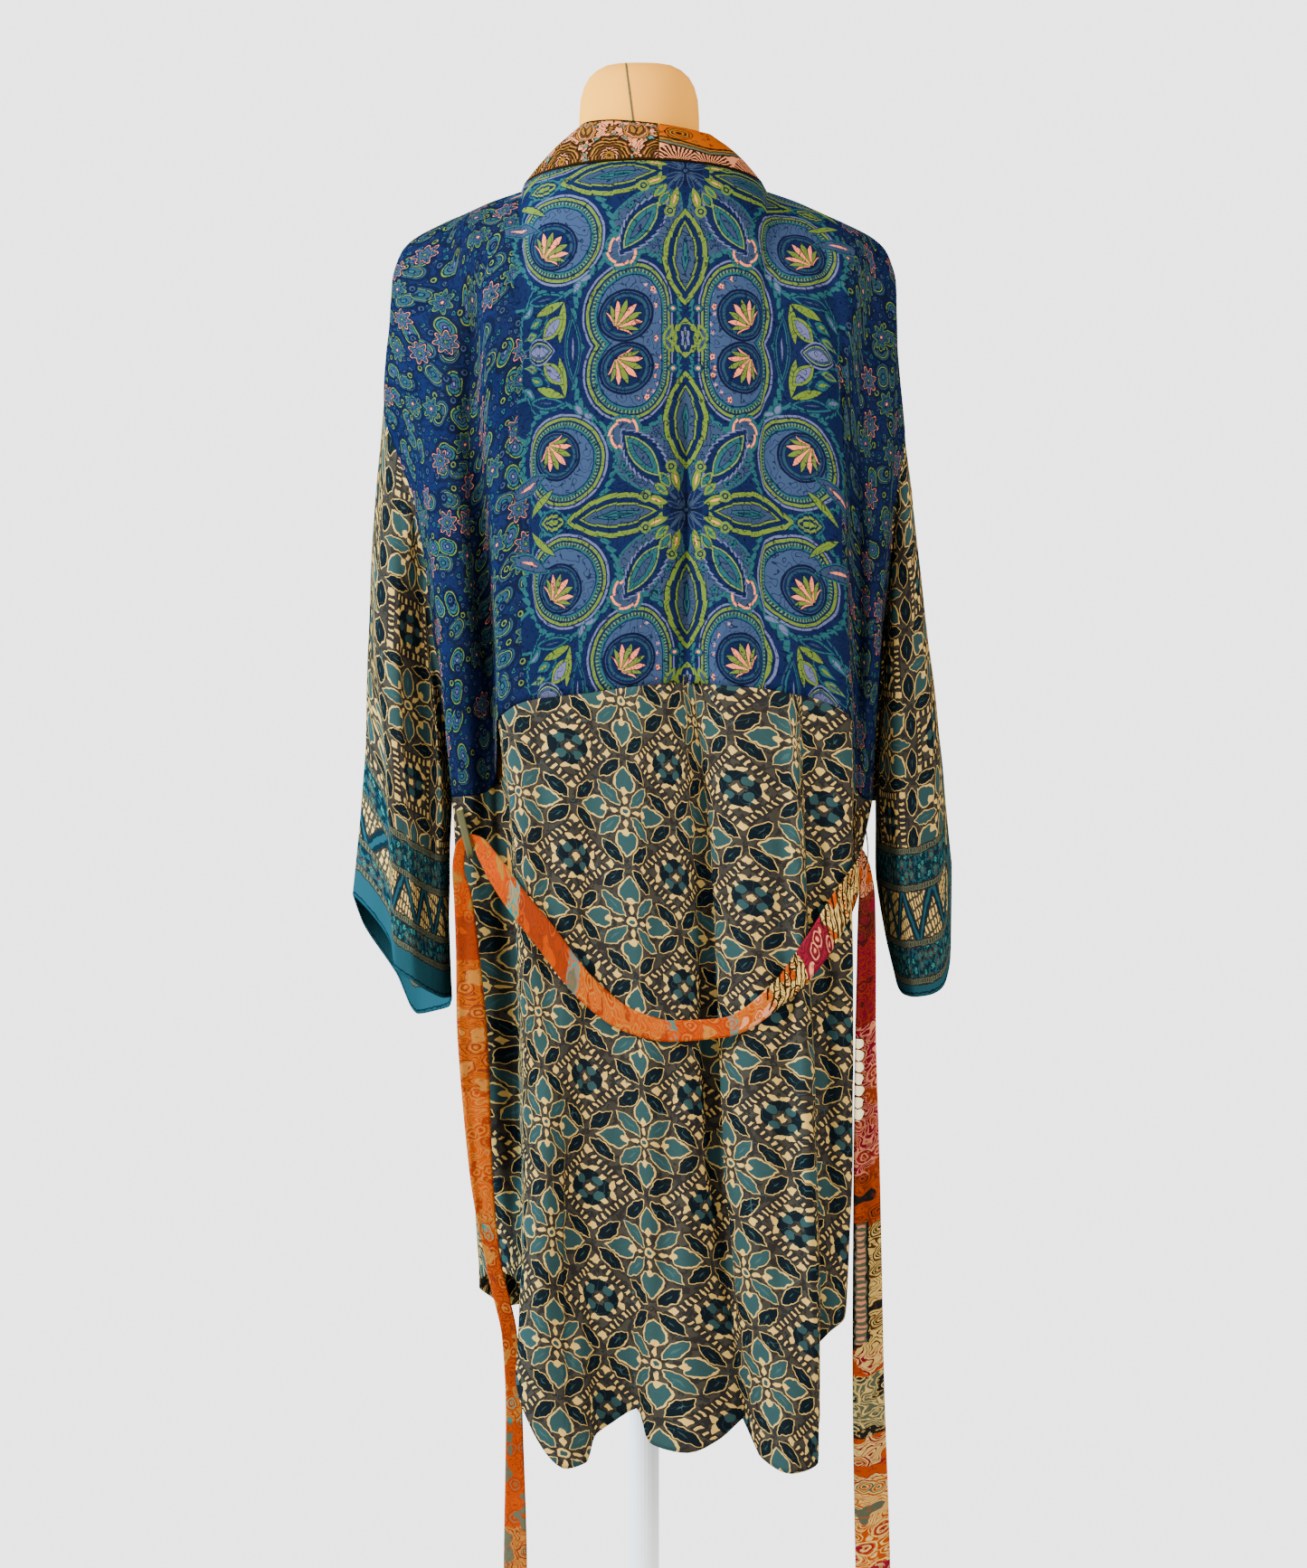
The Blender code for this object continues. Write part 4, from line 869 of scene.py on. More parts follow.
def lay_flat(grid: np.ndarray, anchor: int, closed: bool = False) -> Cut:
    """Measure a sheet back to its flat cut.

    Args:
        grid: the sheet's points, [row][column].
        anchor: the column where u is nought.
        closed: whether the last column meets the first.

    Returns:
        The way across from the anchor and the way down from the first row; a closed sheet gets one
        more column than it has points.
    """
    loop = np.concatenate((grid, grid[:, :1]), axis=1) if closed else grid
    across = np.linalg.norm(np.diff(loop, axis=1), axis=2).mean(axis=0)
    u = np.concatenate(([0.0], np.cumsum(across)))
    down = np.linalg.norm(np.diff(loop, axis=0), axis=2)
    v = np.concatenate((np.zeros((1, loop.shape[1])), np.cumsum(down, axis=0)))
    return Cut(np.broadcast_to(u - u[anchor], v.shape).copy(), v)


def link(name: str, data: Any) -> bpy.types.Object:
    """Put a new object into the scene.

    Args:
        name: its name.
        data: what it shows.

    Returns:
        The object.
    """
    piece = bpy.data.objects.new(name, data)
    bpy.context.collection.objects.link(piece)
    return piece


def choose(piece: bpy.types.Object) -> None:
    """Make a piece the only one that operators act on.

    Args:
        piece: the piece.
    """
    bpy.ops.object.select_all(action="DESELECT")
    piece.select_set(True)
    bpy.context.view_layer.objects.active = piece


def settle(piece: bpy.types.Object, node: Optional[str]) -> None:
    """Let a piece ride on the body, and stand for its solid if it has one.

    Args:
        piece: the finished piece.
        node: the solid.
    """
    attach(piece, "root")
    if node is not None:
        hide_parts(node)
    log.info("%s made", piece.name)


@dataclass
class ClothSheet:
    """A sheet of cloth: its middle surface, flat cut and wall, how it lies, and its solid and slot."""

    name: str
    node: str
    slot: str
    grid: np.ndarray
    cut: Cut
    inward: float = 1.0
    ripple: float = 0.0005      # how far its unevenness goes
    wall: float = 0.0009
    creases: tuple[Crease, ...] = ()
    closed: bool = False

    def press(self) -> None:
        """Press the creases and a faint unevenness into the middle surface."""
        x, z = self.grid[..., 0], self.grid[..., 2]
        move = sum((crease.press(x, z) for crease in self.creases), np.zeros(x.shape))
        u, v = self.cut.u[:, :x.shape[1]], self.cut.v[:, :x.shape[1]]
        wave = np.sin(u * 41 + 1.7 * np.sin(v * 13)) * np.sin(v * 23 + 2.1 * np.sin(u * 17 + 0.8))
        wave = wave + 0.6 * np.sin(u * 97 + 2.6 * np.sin(v * 19 + 1.1)) * np.sin(v * 37 + u * 29)
        edge = np.minimum(np.linspace(0, 1, len(x)), np.linspace(1, 0, len(x)))[:, None]
        move += self.ripple * wave * np.clip(edge * 12, 0, 1)
        self.grid = self.grid + face_way(self.grid, self.inward) * move[..., None]

    def make(self, finish: bpy.types.Material) -> bpy.types.Object:
        """Make the sheet, with its wall and its maps, and let it stand for its solid.

        Args:
            finish: the sheet's material.

        Returns:
            The finished piece.
        """
        self.press()
        rows, columns = self.grid.shape[:2]
        spans = columns if self.closed else columns - 1
        row, column = np.meshgrid(np.arange(rows - 1), np.arange(spans), indexing="ij")
        row = row.reshape(-1, 1) + CORNERS[0]
        column = column.reshape(-1, 1) + CORNERS[1]
        mesh = bpy.data.meshes.new(self.name)
        mesh.from_pydata(self.grid.reshape(-1, 3).tolist(), [], (row * columns + column % columns).tolist())
        u, v = (flat[row, column].ravel() for flat in self.cut)
        spread = np.column_stack([(flat - flat.min()) / np.ptp(flat) for flat in (u, v)])
        for name, spots in (("Cut", np.column_stack((u, v))), ("OFBake", spread * BAKE_SPAN[1] + BAKE_SPAN[0])):
            mesh.uv_layers.new(name=name).data.foreach_set("uv", spots.astype(np.float32).ravel())
        mesh.shade_smooth()
        piece = link(self.name, mesh)
        choose(piece)
        piece.data.materials.append(finish)
        thick = piece.modifiers.new("wall", "SOLIDIFY")
        thick.thickness = self.wall
        thick.offset = 0.0
        thick.use_even_offset = False
        thick.thickness_clamp = 1.0
        bpy.ops.object.modifier_apply(modifier=thick.name)
        settle(piece, self.node)
        return piece

    def hang(self, finish: bpy.types.Material, held: str, rests_on: Sequence[str],
             with_pieces: Sequence[bpy.types.Object] = ()) -> None:
        """Make the sheet.

        Args:
            finish: the sheet's material.
            held: how it is held; not used.
            rests_on: what it lies on or hangs from; not used.
            with_pieces: the separate pieces on it; not used.
        """
        piece = self.make(finish)


class Ink(Enum):
    """The colours of the cloths, as screen codes of what the cloth itself reflects."""

    NAVY = "#060b20"
    DEEP = "#040614"
    ROYAL = "#090e2a"
    SLATE = "#192230"
    SKY = "#1c2638"
    TEAL = "#102e2f"
    DULL_TEAL = "#112229"
    GREEN = "#394612"
    PALE_GREEN = "#424e20"
    PINK = "#994f34"
    LILAC = "#36374d"
    CREAM = "#886d37"
    BROWN = "#221f19"
    DARK_BROWN = "#141211"
    LEAF = "#172828"
    LEAF_DARK = "#04090d"
    LEAF_LIGHT = "#1e3131"
    CUFF_TEAL = "#0f282e"
    CUFF_DARK = "#061116"
    BLUSH = "#865036"
    UMBER = "#2a190a"
    DARK_UMBER = "#130a04"
    GOLD = "#543610"
    ORANGE = "#692300"
    MARIGOLD = "#682c00"
    DEEP_ORANGE = "#561904"
    TAN = "#683e13"
    RUST = "#45180b"
    CRIMSON = "#4b0715"
    DARK_RED = "#2a0a0b"
    SEA = "#164741"
    MOSS = "#303326"
    OLIVE = "#2e250b"
    CHARCOAL = "#0f0e0d"
    WHITE = "#d0c294"
    PAINT = "#ababaa"
    LINEN = "#b17518"
    LINEN_SHADE = "#8b5d1e"

    @property
    def rgba(self) -> tuple[float, float, float, float]:
        """Work out the colour a shader takes.

        Returns:
            The linear red, green and blue, and a full alpha.
        """
        codes = [int(self.value[place:place + 2], 16) / 255 for place in (1, 3, 5)]
        parts = [code / 12.92 if code <= 0.04045 else ((code + 0.055) / 1.055) ** 2.4 for code in codes]
        return (*parts, 1.0)


SHEEN = 0.0                # how much of the surface's own shine the cloths keep


class Shape(Enum):
    """The outlines a motif can have."""

    LENS = "pointed at both ends"
    ROUND = "round"
    DIAMOND = "diamond"
    DROP = "pointed at one end"


def operator(operation: str, turned: bool = False) -> Callable[..., "Num"]:
    """Return a shader number's method for an operation.

    Args:
        operation: the shader's name for it.
        turned: whether the number itself comes second.

    Returns:
        The method.
    """
    def work(self: "Num", *others: "Value") -> "Num":
        """Return the outcome."""
        return self.paper.math(operation, *((*others, self) if turned else (self, *others)))

    return work


class Num:
    """A number that the shader works out, with ordinary arithmetic."""

    __add__ = operator("ADD")
    __radd__ = operator("ADD", turned=True)
    __sub__ = operator("SUBTRACT")
    __rsub__ = operator("SUBTRACT", turned=True)
    __mul__ = operator("MULTIPLY")
    __rmul__ = operator("MULTIPLY", turned=True)
    __truediv__ = operator("DIVIDE")
    __rtruediv__ = operator("DIVIDE", turned=True)
    __abs__ = operator("ABSOLUTE")
    under = operator("LESS_THAN")       # 1 where the number is under another
    over = operator("GREATER_THAN")     # 1 where it is over another
    fold = operator("PINGPONG")         # going up and down between nought and a period
    share = operator("FRACT")           # what is over the whole part

    def __init__(self, paper: "Paper", socket: bpy.types.NodeSocket) -> None:
        """Keep the socket and the finish it belongs to."""
        self.paper = paper
        self.socket = socket

    def between(self, low: float, high: float) -> "Num":
        """Return 1 where the number is between two limits."""
        return self.paper.math("COMPARE", self, (low + high) / 2, (high - low) / 2)


Value = Union[Num, float]


class Paper:
    """The nodes of one finish: a ground with colours laid over it in order."""

    def __init__(self, name: str, ground: Ink, roughness: float) -> None:
        """Start a finish.

        Args:
            name: the finish's name.
            ground: its first colour.
            roughness: how rough it is.
        """
        self.material = bpy.data.materials.new(name)
        self.material.use_nodes = True
        self.tree = self.material.node_tree
        self.shader = self.tree.nodes["Principled BSDF"]
        self.shader.inputs["Roughness"].default_value = roughness
        self.shader.inputs["Specular IOR Level"].default_value = SHEEN
        self.shader.inputs["Base Color"].default_value = ground.rgba
        self.colour: Any = ground

    def node(self, kind: str, settings: dict[str, Any], inputs: dict[Any, Any]) -> bpy.types.NodeOutputs:
        """Add a node.

        Args:
            kind: the node's type.
            settings: its settings.
            inputs: what goes into its sockets, by name or place.

        Returns:
            Its outputs.
        """
        made = self.tree.nodes.new(f"ShaderNode{kind}")
        for name, value in settings.items():
            setattr(made, name, value)
        for place, value in inputs.items():
            value = value.socket if isinstance(value, Num) else value
            value = value.rgba if isinstance(value, Ink) else value
            if isinstance(value, bpy.types.NodeSocket):
                self.tree.links.new(value, made.inputs[place])
            else:
                made.inputs[place].default_value = value
        return made.outputs

    def math(self, operation: str, *values: Value) -> Num:
        """Return a number worked out from others."""
        return Num(self, self.node("Math", {"operation": operation}, dict(enumerate(values)))[0])

    def limited(self, value: Value) -> Num:
        """Return the number kept from 0 to 1."""
        return self.math("MAXIMUM", 0.0, self.math("MINIMUM", 1.0, value))

    def vector(self, operation: str, *values: Any) -> bpy.types.NodeSocket:
        """Return a vector worked out from others."""
        return self.node("VectorMath", {"operation": operation}, dict(enumerate(values)))[0]

    def parts(self, value: Any) -> tuple[Num, Num]:
        """Return a vector's x and y."""
        made = self.node("SeparateXYZ", {}, {0: value})
        return Num(self, made[0]), Num(self, made[1])

    def polar(self, x: Num, y: Num) -> tuple[Num, Num]:
        """Return how far out x and y lie, and which way."""
        return self.math("SQRT", x * x + y * y), self.math("ARCTAN2", y, x)

    def joined(self, x: Value, y: Value) -> bpy.types.NodeSocket:
        """Return the vector of x and y."""
        return self.node("CombineXYZ", {}, {0: x, 1: y})[0]

    def seen_from(self, value: Any, x: float, y: float, angle: float = 0.0, long: float = 1.0,
                  wide: float = 1.0) -> bpy.types.NodeSocket:
        """Measure a vector from a place, along a way and in shares of its sizes.

        Args:
            value: the vector.
            x: the place's x.
            y: the place's y.
            angle: the way, in degrees.
            long: the size along it.
            wide: the size across it.

        Returns:
            The measured vector.
        """
        return self.node("Mapping", {"vector_type": "TEXTURE"}, {
            "Vector": value, "Location": (x, y, 0.0), "Rotation": (0.0, 0.0, math.radians(angle)),
            "Scale": (long, wide, 1.0)})[0]

    def noise(self, value: Any, size: float, detail: float = 1.0) -> Num:
        """Return a noise from 0 to 1 whose lumps have about the given size."""
        return Num(self, self.node("TexNoise", {"noise_dimensions": "2D"},
                                   {"Vector": value, "Scale": 1.0 / size, "Detail": detail})[0])

    def cut(self, wobble: float, lump: float) -> bpy.types.NodeSocket:
        """Find the place on the flat cloth, hand-drawn lines wobbling a little.

        Args:
            wobble: how far lines stray.
            lump: how long a stray is.

        Returns:
            The place, in photograph pixels.
        """
        place = self.node("UVMap", {"uv_map": "Cut"}, {})[0]
        place = self.vector("MULTIPLY", place, (PER_PIXEL, PER_PIXEL, 0.0))
        stray = self.node("TexNoise", {"noise_dimensions": "2D"},
                          {"Vector": place, "Scale": 1.0 / lump, "Detail": 1.0})["Color"]
        stray = self.vector("SUBTRACT", stray, (0.5, 0.5, 0.5))
        return self.vector("ADD", place, self.vector("MULTIPLY", stray, (wobble * 2, wobble * 2, 0.0)))

    def ramp(self, value: Value, bands: str, full: float = 1.0) -> bpy.types.NodeSocket:
        """Pick the colour of the band a number lies in.

        Args:
            value: the number.
            bands: where each band starts and its ink.
            full: what the starts are shares of.

        Returns:
            The colour.
        """
        words = bands.split()
        outputs = self.node("ValToRGB", {}, {0: value})
        colours = outputs[0].node.color_ramp
        colours.interpolation = "CONSTANT"
        stops = colours.elements
        while len(stops) < len(words) // 2:
            stops.new(1.0)
        while len(stops) > len(words) // 2:
            stops.remove(stops[-1])
        for stop, start in zip(stops, words[::2]):
            stop.position = float(start) / full
        for stop, ink in zip(stops, words[1::2]):
            stop.color = Ink[ink].rgba
        return outputs[0]

    def mix(self, share: Value, first: Any, second: Any) -> bpy.types.NodeSocket:
        """Return the share's mixture of two colours."""
        return self.node("Mix", {"data_type": "RGBA"}, {0: share, 6: first, 7: second})[2]

    def lay(self, share: Value, ink: Any) -> None:
        """Lay a colour over what is there, where the share is 1."""
        self.colour = self.mix(share, self.colour, ink)

    def lay_all(self, *layers: tuple[Value, Any]) -> None:
        """Lay several colours in order."""
        for layer in layers:
            self.lay(*layer)

    def reach(self, place: Any, motif: Motif) -> Num:
        """Measure how far out in a motif a place is.

        Args:
            place: the place on the print.
            motif: the motif.

        Returns:
            0 at its middle and 1 at its edge.
        """
        x, y = self.parts(self.seen_from(place, *motif[1:6]))
        shape = Shape[motif.shape]
        if shape is Shape.DIAMOND:
            return abs(x) + abs(y)
        if shape is Shape.DROP:
            return abs(y) / self.math("MAXIMUM", 1.0 - x * 0.7, 0.05) + x * x
        if shape is Shape.ROUND:
            away, turn = self.polar(x, y)
            turn = turn * (motif.teeth / (2 * math.pi))
        else:
            away, turn = abs(y) + x * x, x * motif.teeth
        return away + turn.share() * motif.bite if motif.teeth else away

    def draw(self, place: Any, motifs: Sequence[Motif], within: Value = 1.0) -> None:
        """Draw motifs in order.

        Args:
            place: the place on the print.
            motifs: the motifs.
            within: where they may show.
        """
        for motif in motifs:
            away = self.reach(place, motif)
            self.lay(away.under(1.0) * within, self.ramp(away, motif.bands))

    def strew(self, place: Any, blossoms: Blossoms, within: Value = 1.0) -> None:
        """Strew small flowers.

        Args:
            place: the place on the cloth.
            blossoms: the flowers.
            within: where they may show.
        """
        spot = self.vector("ADD", place, (blossoms.shift, blossoms.shift * 1.7, 0.0))
        cells = self.node("TexVoronoi", {"voronoi_dimensions": "2D"},
                          {"Vector": spot, "Scale": 1.0 / blossoms.cell, "Randomness": 0.72})
        chance, kind = self.parts(cells["Color"])
        x, y = self.parts(self.vector("SUBTRACT", spot, cells["Position"]))
        turn = self.math("ARCTAN2", y, x) * blossoms.petals + kind * 9.0
        petal = self.math("COSINE", turn) * 0.2 + 0.8
        away = Num(self, cells["Distance"]) * blossoms.cell / (petal * blossoms.radius)
        self.lay(away.under(1.0) * chance.under(blossoms.share) * within,
                 self.mix(kind.over(0.5), self.ramp(away, blossoms.first), self.ramp(away, blossoms.second)))

    def finished(self, place: Any = None, size: float = 9.0, strength: float = 0.3) -> bpy.types.Material:
        """Link the colour to the material.

        Args:
            place: the place on the cloth, for a faint uneven surface.
            size: how wide its lumps are.
            strength: how strong they are.

        Returns:
            The material.
        """
        if place is not None:
            bump = self.node("Bump", {}, {"Strength": strength, "Distance": 0.0006,
                                          "Height": self.noise(place, size, 2.0)})
            self.tree.links.new(bump[0], self.shader.inputs["Normal"])
        if isinstance(self.colour, bpy.types.NodeSocket):
            self.tree.links.new(self.colour, self.shader.inputs["Base Color"])
        return self.material


@dataclass(frozen=True)
class Plain:
    """A plain finish, a little mottled where a second ink is named."""

    name: str
    ink: Ink
    roughness: float = 0.7
    second: Optional[Ink] = None

    def material(self) -> bpy.types.Material:
        """Make the material.

        Returns:
            The material.
        """
        paper = Paper(self.name, self.ink, self.roughness)
        if self.second is not None:
            place = paper.node("TexCoord", {}, {})["Object"]
            made = paper.node("TexNoise", {}, {"Vector": place, "Scale": 9.0, "Detail": 3.0})
            paper.lay(Num(paper, made[0]), self.second)
        return paper.finished()


# The yokes' print, in photograph pixels from its mirror lines: x outward from the robe's centre line,
# y upward from the star to the hearts
HEART_RINGS = (
    "0 SKY 40 NAVY 41.5 TEAL 44.3 DEEP 45.2 DULL_TEAL 47.8 NAVY 50 GREEN 53.2 NAVY 55.3 LILAC 57.6 NAVY")
SPIRAL_RINGS = (
    "0 SKY 36 NAVY 37.2 TEAL 40 DEEP 40.8 DULL_TEAL 43.4 NAVY 45.2 GREEN 48.4 NAVY 50 LILAC 52.4 NAVY")
FLORAL_REGION = table(Motif, "LENS 46 70 56 68 40 0 0 0 SLATE .93 TEAL")[0]
CORES = table(Motif, """
ROUND 66 160 0 31 29 0 0 0 NAVY .7 DULL_TEAL .8 NAVY .88 SLATE .91 DEEP
ROUND 148 73 0 29 28 0 0 0 NAVY .7 DULL_TEAL .8 NAVY .88 SLATE .91 DEEP
""")
YOKE_UNDER = table(Motif, """
ROUND 190 118 0 34 27 14 .1 0 NAVY .86 TEAL
LENS 178 150 60 44 22 5 .1 0 NAVY .9 TEAL
""")
YOKE_MOTIFS = table(Motif, """
ROUND 69 88 0 23 23 6 .14 0 SLATE .68 PINK .8 TEAL
LENS 46 60 52 45 21 6 .12 0 NAVY .9 LILAC
LENS 49 62 52 31 12 0 0 0 SLATE .32 NAVY .4 TEAL .78 DEEP .84 PALE_GREEN
LENS 24 34 55 10 5.5 0 0 0 TEAL .5 NAVY .62 GREEN
LENS 126 189 90 40 10 0 0 0 LILAC .1 NAVY .62 TEAL .74 NAVY .88 DULL_TEAL
LENS 161 132 6 27 8 0 0 0 SLATE .12 NAVY .6 TEAL .86 NAVY
LENS 155 143 20 21 5.5 0 0 0 GREEN .86 DEEP
LENS 139 159 82 24 5.5 0 0 0 GREEN .86 DEEP
LENS 151 164 45 19 10 0 0 0 LILAC .52 DEEP .58 GREEN .92 DEEP
DROP 176 158 20 12 5 0 0 0 GREEN .35 TEAL
DROP 186 172 10 14 5 0 0 0 SLATE .35 GREEN .7 TEAL
DROP 190 145 30 14 5 0 0 0 LILAC .4 TEAL
LENS 170 189 0 22 15 0 0 0 LILAC .36 SLATE .62 PALE_GREEN .7 NAVY .86 LILAC
LENS 120 121 60 9 5 0 0 0 LILAC .6 TEAL
LENS 110 113 20 9 4 0 0 0 LILAC .6 TEAL
LENS 192 42 -20 34 10 0 0 0 PINK .16 SLATE .74 NAVY .84 TEAL
LENS 172 22 -38 26 5 0 0 0 GREEN .8 NAVY
LENS 0 99 90 56 27 2.6 .06 0 NAVY .05 TEAL .13 DEEP .17 SLATE .4 DEEP .44 GREEN .52 DEEP .56 NAVY \
.76 GREEN .96 DEEP
LENS 78 0 0 62 26 2.6 .06 0 TEAL .07 DEEP .11 TEAL .18 DEEP .22 SLATE .42 DEEP .46 GREEN .54 DEEP .58 NAVY \
.76 GREEN .96 DEEP
LENS 155 0 0 20 16 3 .12 0 GREEN .25 NAVY .42 GREEN .62 NAVY .82 TEAL
LENS 0 189 90 24 20 3.1 .16 0 GREEN .12 NAVY .2 LILAC .34 NAVY .6 GREEN .88 NAVY
LENS 19 183 60 11 5 0 0 0 SLATE .4 GREEN
ROUND 14 156 0 6 5 0 0 0 PINK .35 TEAL .8 NAVY
ROUND 0 0 0 27 27 0 0 0 SLATE .08 DEEP .7 NAVY
LENS 15 6 22 12 3 0 0 0 NAVY .6 SLATE
LENS 6 15 68 12 3 0 0 0 NAVY .6 SLATE
LENS 12 12 45 14 2 0 0 0 SLATE
LENS 34 12 18 15 5.5 0 0 0 PINK .2 GREEN .88 DEEP
LENS 28 24 45 11 5 0 0 0 TEAL .3 GREEN .88 DEEP
LENS 12 34 75 15 5.5 0 0 0 PINK .2 GREEN .88 DEEP
ROUND 46 17 0 6.5 6.5 0 0 0 GREEN .3 NAVY .55 GREEN
ROUND 17 48 0 6.5 6.5 0 0 0 GREEN .3 NAVY .55 GREEN
""")
YOKE_FANS = ((78, 173), (160, 87))
TINY_FLOWERS = Blossoms(13, 6.2, 5, "0 NAVY .3 TEAL .8 DEEP", "0 SLATE .28 NAVY .4 SLATE .75 NAVY", 0.95)
RIM_FLOWERS = Blossoms(11, 4.6, 5, "0 NAVY .3 PINK .8 NAVY", "0 PINK .3 LILAC .8 NAVY", 0.9, 5)
SIDE_FLOWERS = Blossoms(40, 17.5, 7,
        "0 GREEN .1 DEEP .16 DULL_TEAL .34 DEEP .4 LILAC .46 DEEP .52 DULL_TEAL .72 DEEP "
        ".79 PINK .84 DEEP",
        "0 PINK .11 DEEP .2 SLATE .34 DEEP .42 DULL_TEAL .6 DEEP .66 TEAL .74 DEEP .78 GREEN "
        ".85 DEEP", 0.62, 11)
SIDE_LEAVES = Blossoms(34, 21, 2,
        "0 LILAC .1 NAVY .18 SLATE .34 DEEP .4 TEAL .54 DEEP .62 GREEN .7 DEEP",
        "0 TEAL .14 DEEP .22 DULL_TEAL .46 DEEP .52 PALE_GREEN .57 DEEP .63 DULL_TEAL "
        ".74 DEEP", 0.9, 29)
SIDE_SPRIGS = Blossoms(11.5, 5, 3, "0 DEEP .3 TEAL .6 DEEP", "0 DEEP .25 SLATE .55 DEEP", 0.9, 3)
SIDE_COMMAS = Blossoms(27, 8, 1, "0 DEEP .28 SLATE .5 DEEP", "0 DEEP .3 GREEN .5 DEEP", 0.9, 47)


@dataclass(frozen=True)
class YokePrint:
    """The yokes' mirrored paisley: spirals, hearts, leaves and stars on blue."""

    repeat: float = 189.0
    heart: tuple[float, float] = (57.0, 157.0)
    heart_disc: float = 64.0
    spiral: tuple[float, float] = (140.0, 66.0)
    spiral_disc: float = 58.0
    teeth: float = 5.5
    bite: float = 5.0
    strewn_from: float = 207.0

    def heart_reach(self, paper: Paper, x: Num, y: Num) -> Num:
        """Return the way out from a heart's middle; its inner side runs straight on to its mirror."""
        squeeze = 1.0 - y.over(0.0) * (1.0 - paper.limited(x / 28.0 + 1.0))
        return paper.polar(x * (x.under(0.0) * 0.35 + 1.0), y * squeeze)[0]

    def rings(self, paper: Paper, away: Num, turn: Num, disc: float, rings: str, within: Value) -> None:
        """Paint a toothed disc with rings and a row of ticks.

        Args:
            paper: the finish.
            away: the way out from the disc's middle.
            turn: the way round it.
            disc: the disc's radius inside its teeth.
            rings: where each ring starts, and its ink.
            within: where it may show.
        """
        toothed = away + (turn * self.teeth).share() * self.bite
        starts = [float(word) for word in rings.split()[::2]]
        ticks = away.between(starts[3], starts[4] + 2.4) * (turn * 11.0).share().under(0.3)
        paper.lay_all((toothed.under(disc + 8.5) * within, Ink.TEAL),
                      (toothed.under(disc + 3.0) * within, Ink.NAVY),
                      (away.under(disc) * within, paper.ramp(away / disc, rings, disc)),
                      (ticks * within, Ink.PALE_GREEN))

    def palmette(self, paper: Paper, place: Any, x: float, y: float) -> None:
        """Draw a palmette.

        Args:
            paper: the finish.
            place: the place on the print.
            x: where it springs from, across.
            y: where it springs from, up.
        """
        away, turn = paper.polar(*paper.parts(paper.seen_from(place, x, y, -134, 34, 34)))
        turn = turn * (1.25 - away * 0.3)
        count = turn * (7.0 / 2.3) + 0.5
        cell = abs(count.share() - 0.5)
        edge = 1.0 - turn * turn * 0.22 - cell * 0.62
        mask = away.under(edge) * cell.under(0.41) * abs(turn).under(1.32) * away.over(0.08)
        second = (count * 0.5).share().over(0.5)
        paper.lay(away.under(edge + 0.07) * abs(turn).under(1.4), Ink.DEEP)
        paper.lay(mask, paper.mix(second, Ink.PINK, Ink.GREEN))

    def material(self) -> bpy.types.Material:
        """Make the material.

        Returns:
            The material.
        """
        paper = Paper("yoke paisley", Ink.NAVY, 0.62)
        cloth = paper.cut(0.8, 16.0)
        u, v = paper.parts(cloth)
        across = abs(u)
        place = paper.joined(across, v.fold(self.repeat))
        paper.lay_all((paper.noise(cloth, 60.0, 2.0) * 0.35, Ink.ROYAL),
                      (paper.noise(cloth, 5.0, 2.0).under(0.42) * 0.5, Ink.DEEP))
        middle = across.under(self.strewn_from)
        outside = across.over(self.strewn_from - 12.0)
        for blossoms in (SIDE_SPRIGS, SIDE_LEAVES, SIDE_COMMAS, SIDE_FLOWERS):
            paper.strew(cloth, blossoms, outside)
        paper.draw(place, YOKE_UNDER, middle)
        paper.draw(place, (FLORAL_REGION,))
        paper.strew(cloth, TINY_FLOWERS, paper.reach(place, FLORAL_REGION).under(0.9))
        x, y = paper.parts(paper.seen_from(place, *self.spiral))
        away, turn = paper.polar(x, y)
        self.rings(paper, away, turn, self.spiral_disc, SPIRAL_RINGS, middle)
        x, y = paper.parts(paper.seen_from(place, *self.heart))
        away = self.heart_reach(paper, x, y)
        self.rings(paper, away, paper.math("ARCTAN2", y, x), self.heart_disc, HEART_RINGS, 1.0)
        paper.strew(cloth, RIM_FLOWERS, away.between(31.0, 39.5) * x.under(-4.0))
        paper.draw(place, CORES, middle)
        for spot in YOKE_FANS:
            self.palmette(paper, place, *spot)
        paper.draw(place, YOKE_MOTIFS, across.under(self.strewn_from + 4.0))
        paper.lay_all((paper.noise(cloth, 40.0, 2.0) * 0.14, Ink.SLATE),
                      ((paper.noise(cloth, 15.0) * 5.0).share().under(0.15) * 0.8, Ink.DEEP))
        return paper.finished(cloth, strength=0.25)


# The block print, in photograph pixels from a flower's middle, folded into its eighth
BLOCK_MOTIFS = table(Motif, """
LENS 17.3 17.3 45 17.6 7.6 0 0 0 LEAF_LIGHT .14 LEAF .84 CREAM .97 DARK_BROWN
LENS 12.5 0 0 5 2.4 0 0 0 CREAM
ROUND 0 0 0 5.2 5.2 0 0 0 LEAF .55 CREAM
LENS 45.3 15.6 135 16.8 7.8 0 0 0 LEAF .07 LEAF_DARK .86 CREAM .97 DARK_BROWN
DIAMOND 60 18.5 0 5 5 0 0 0 CREAM
""")
EYE = table(Motif, "LENS 22.5 0 0 4.6 3.6 0 0 0 CREAM")
# The square's own motifs, from its middle
SQUARE_MOTIFS = table(Motif, """
LENS 21 4.5 62 6.6 3 0 0 0 CREAM
LENS 14 0 90 11 6 0 0 0 LEAF_DARK
ROUND 8.5 8.5 0 6 6 0 0 0 LEAF .86 LEAF_DARK
DIAMOND 13 13 0 3.4 3.4 0 0 0 CREAM
DIAMOND 0 0 0 4.6 4.6 0 0 0 CREAM
""")


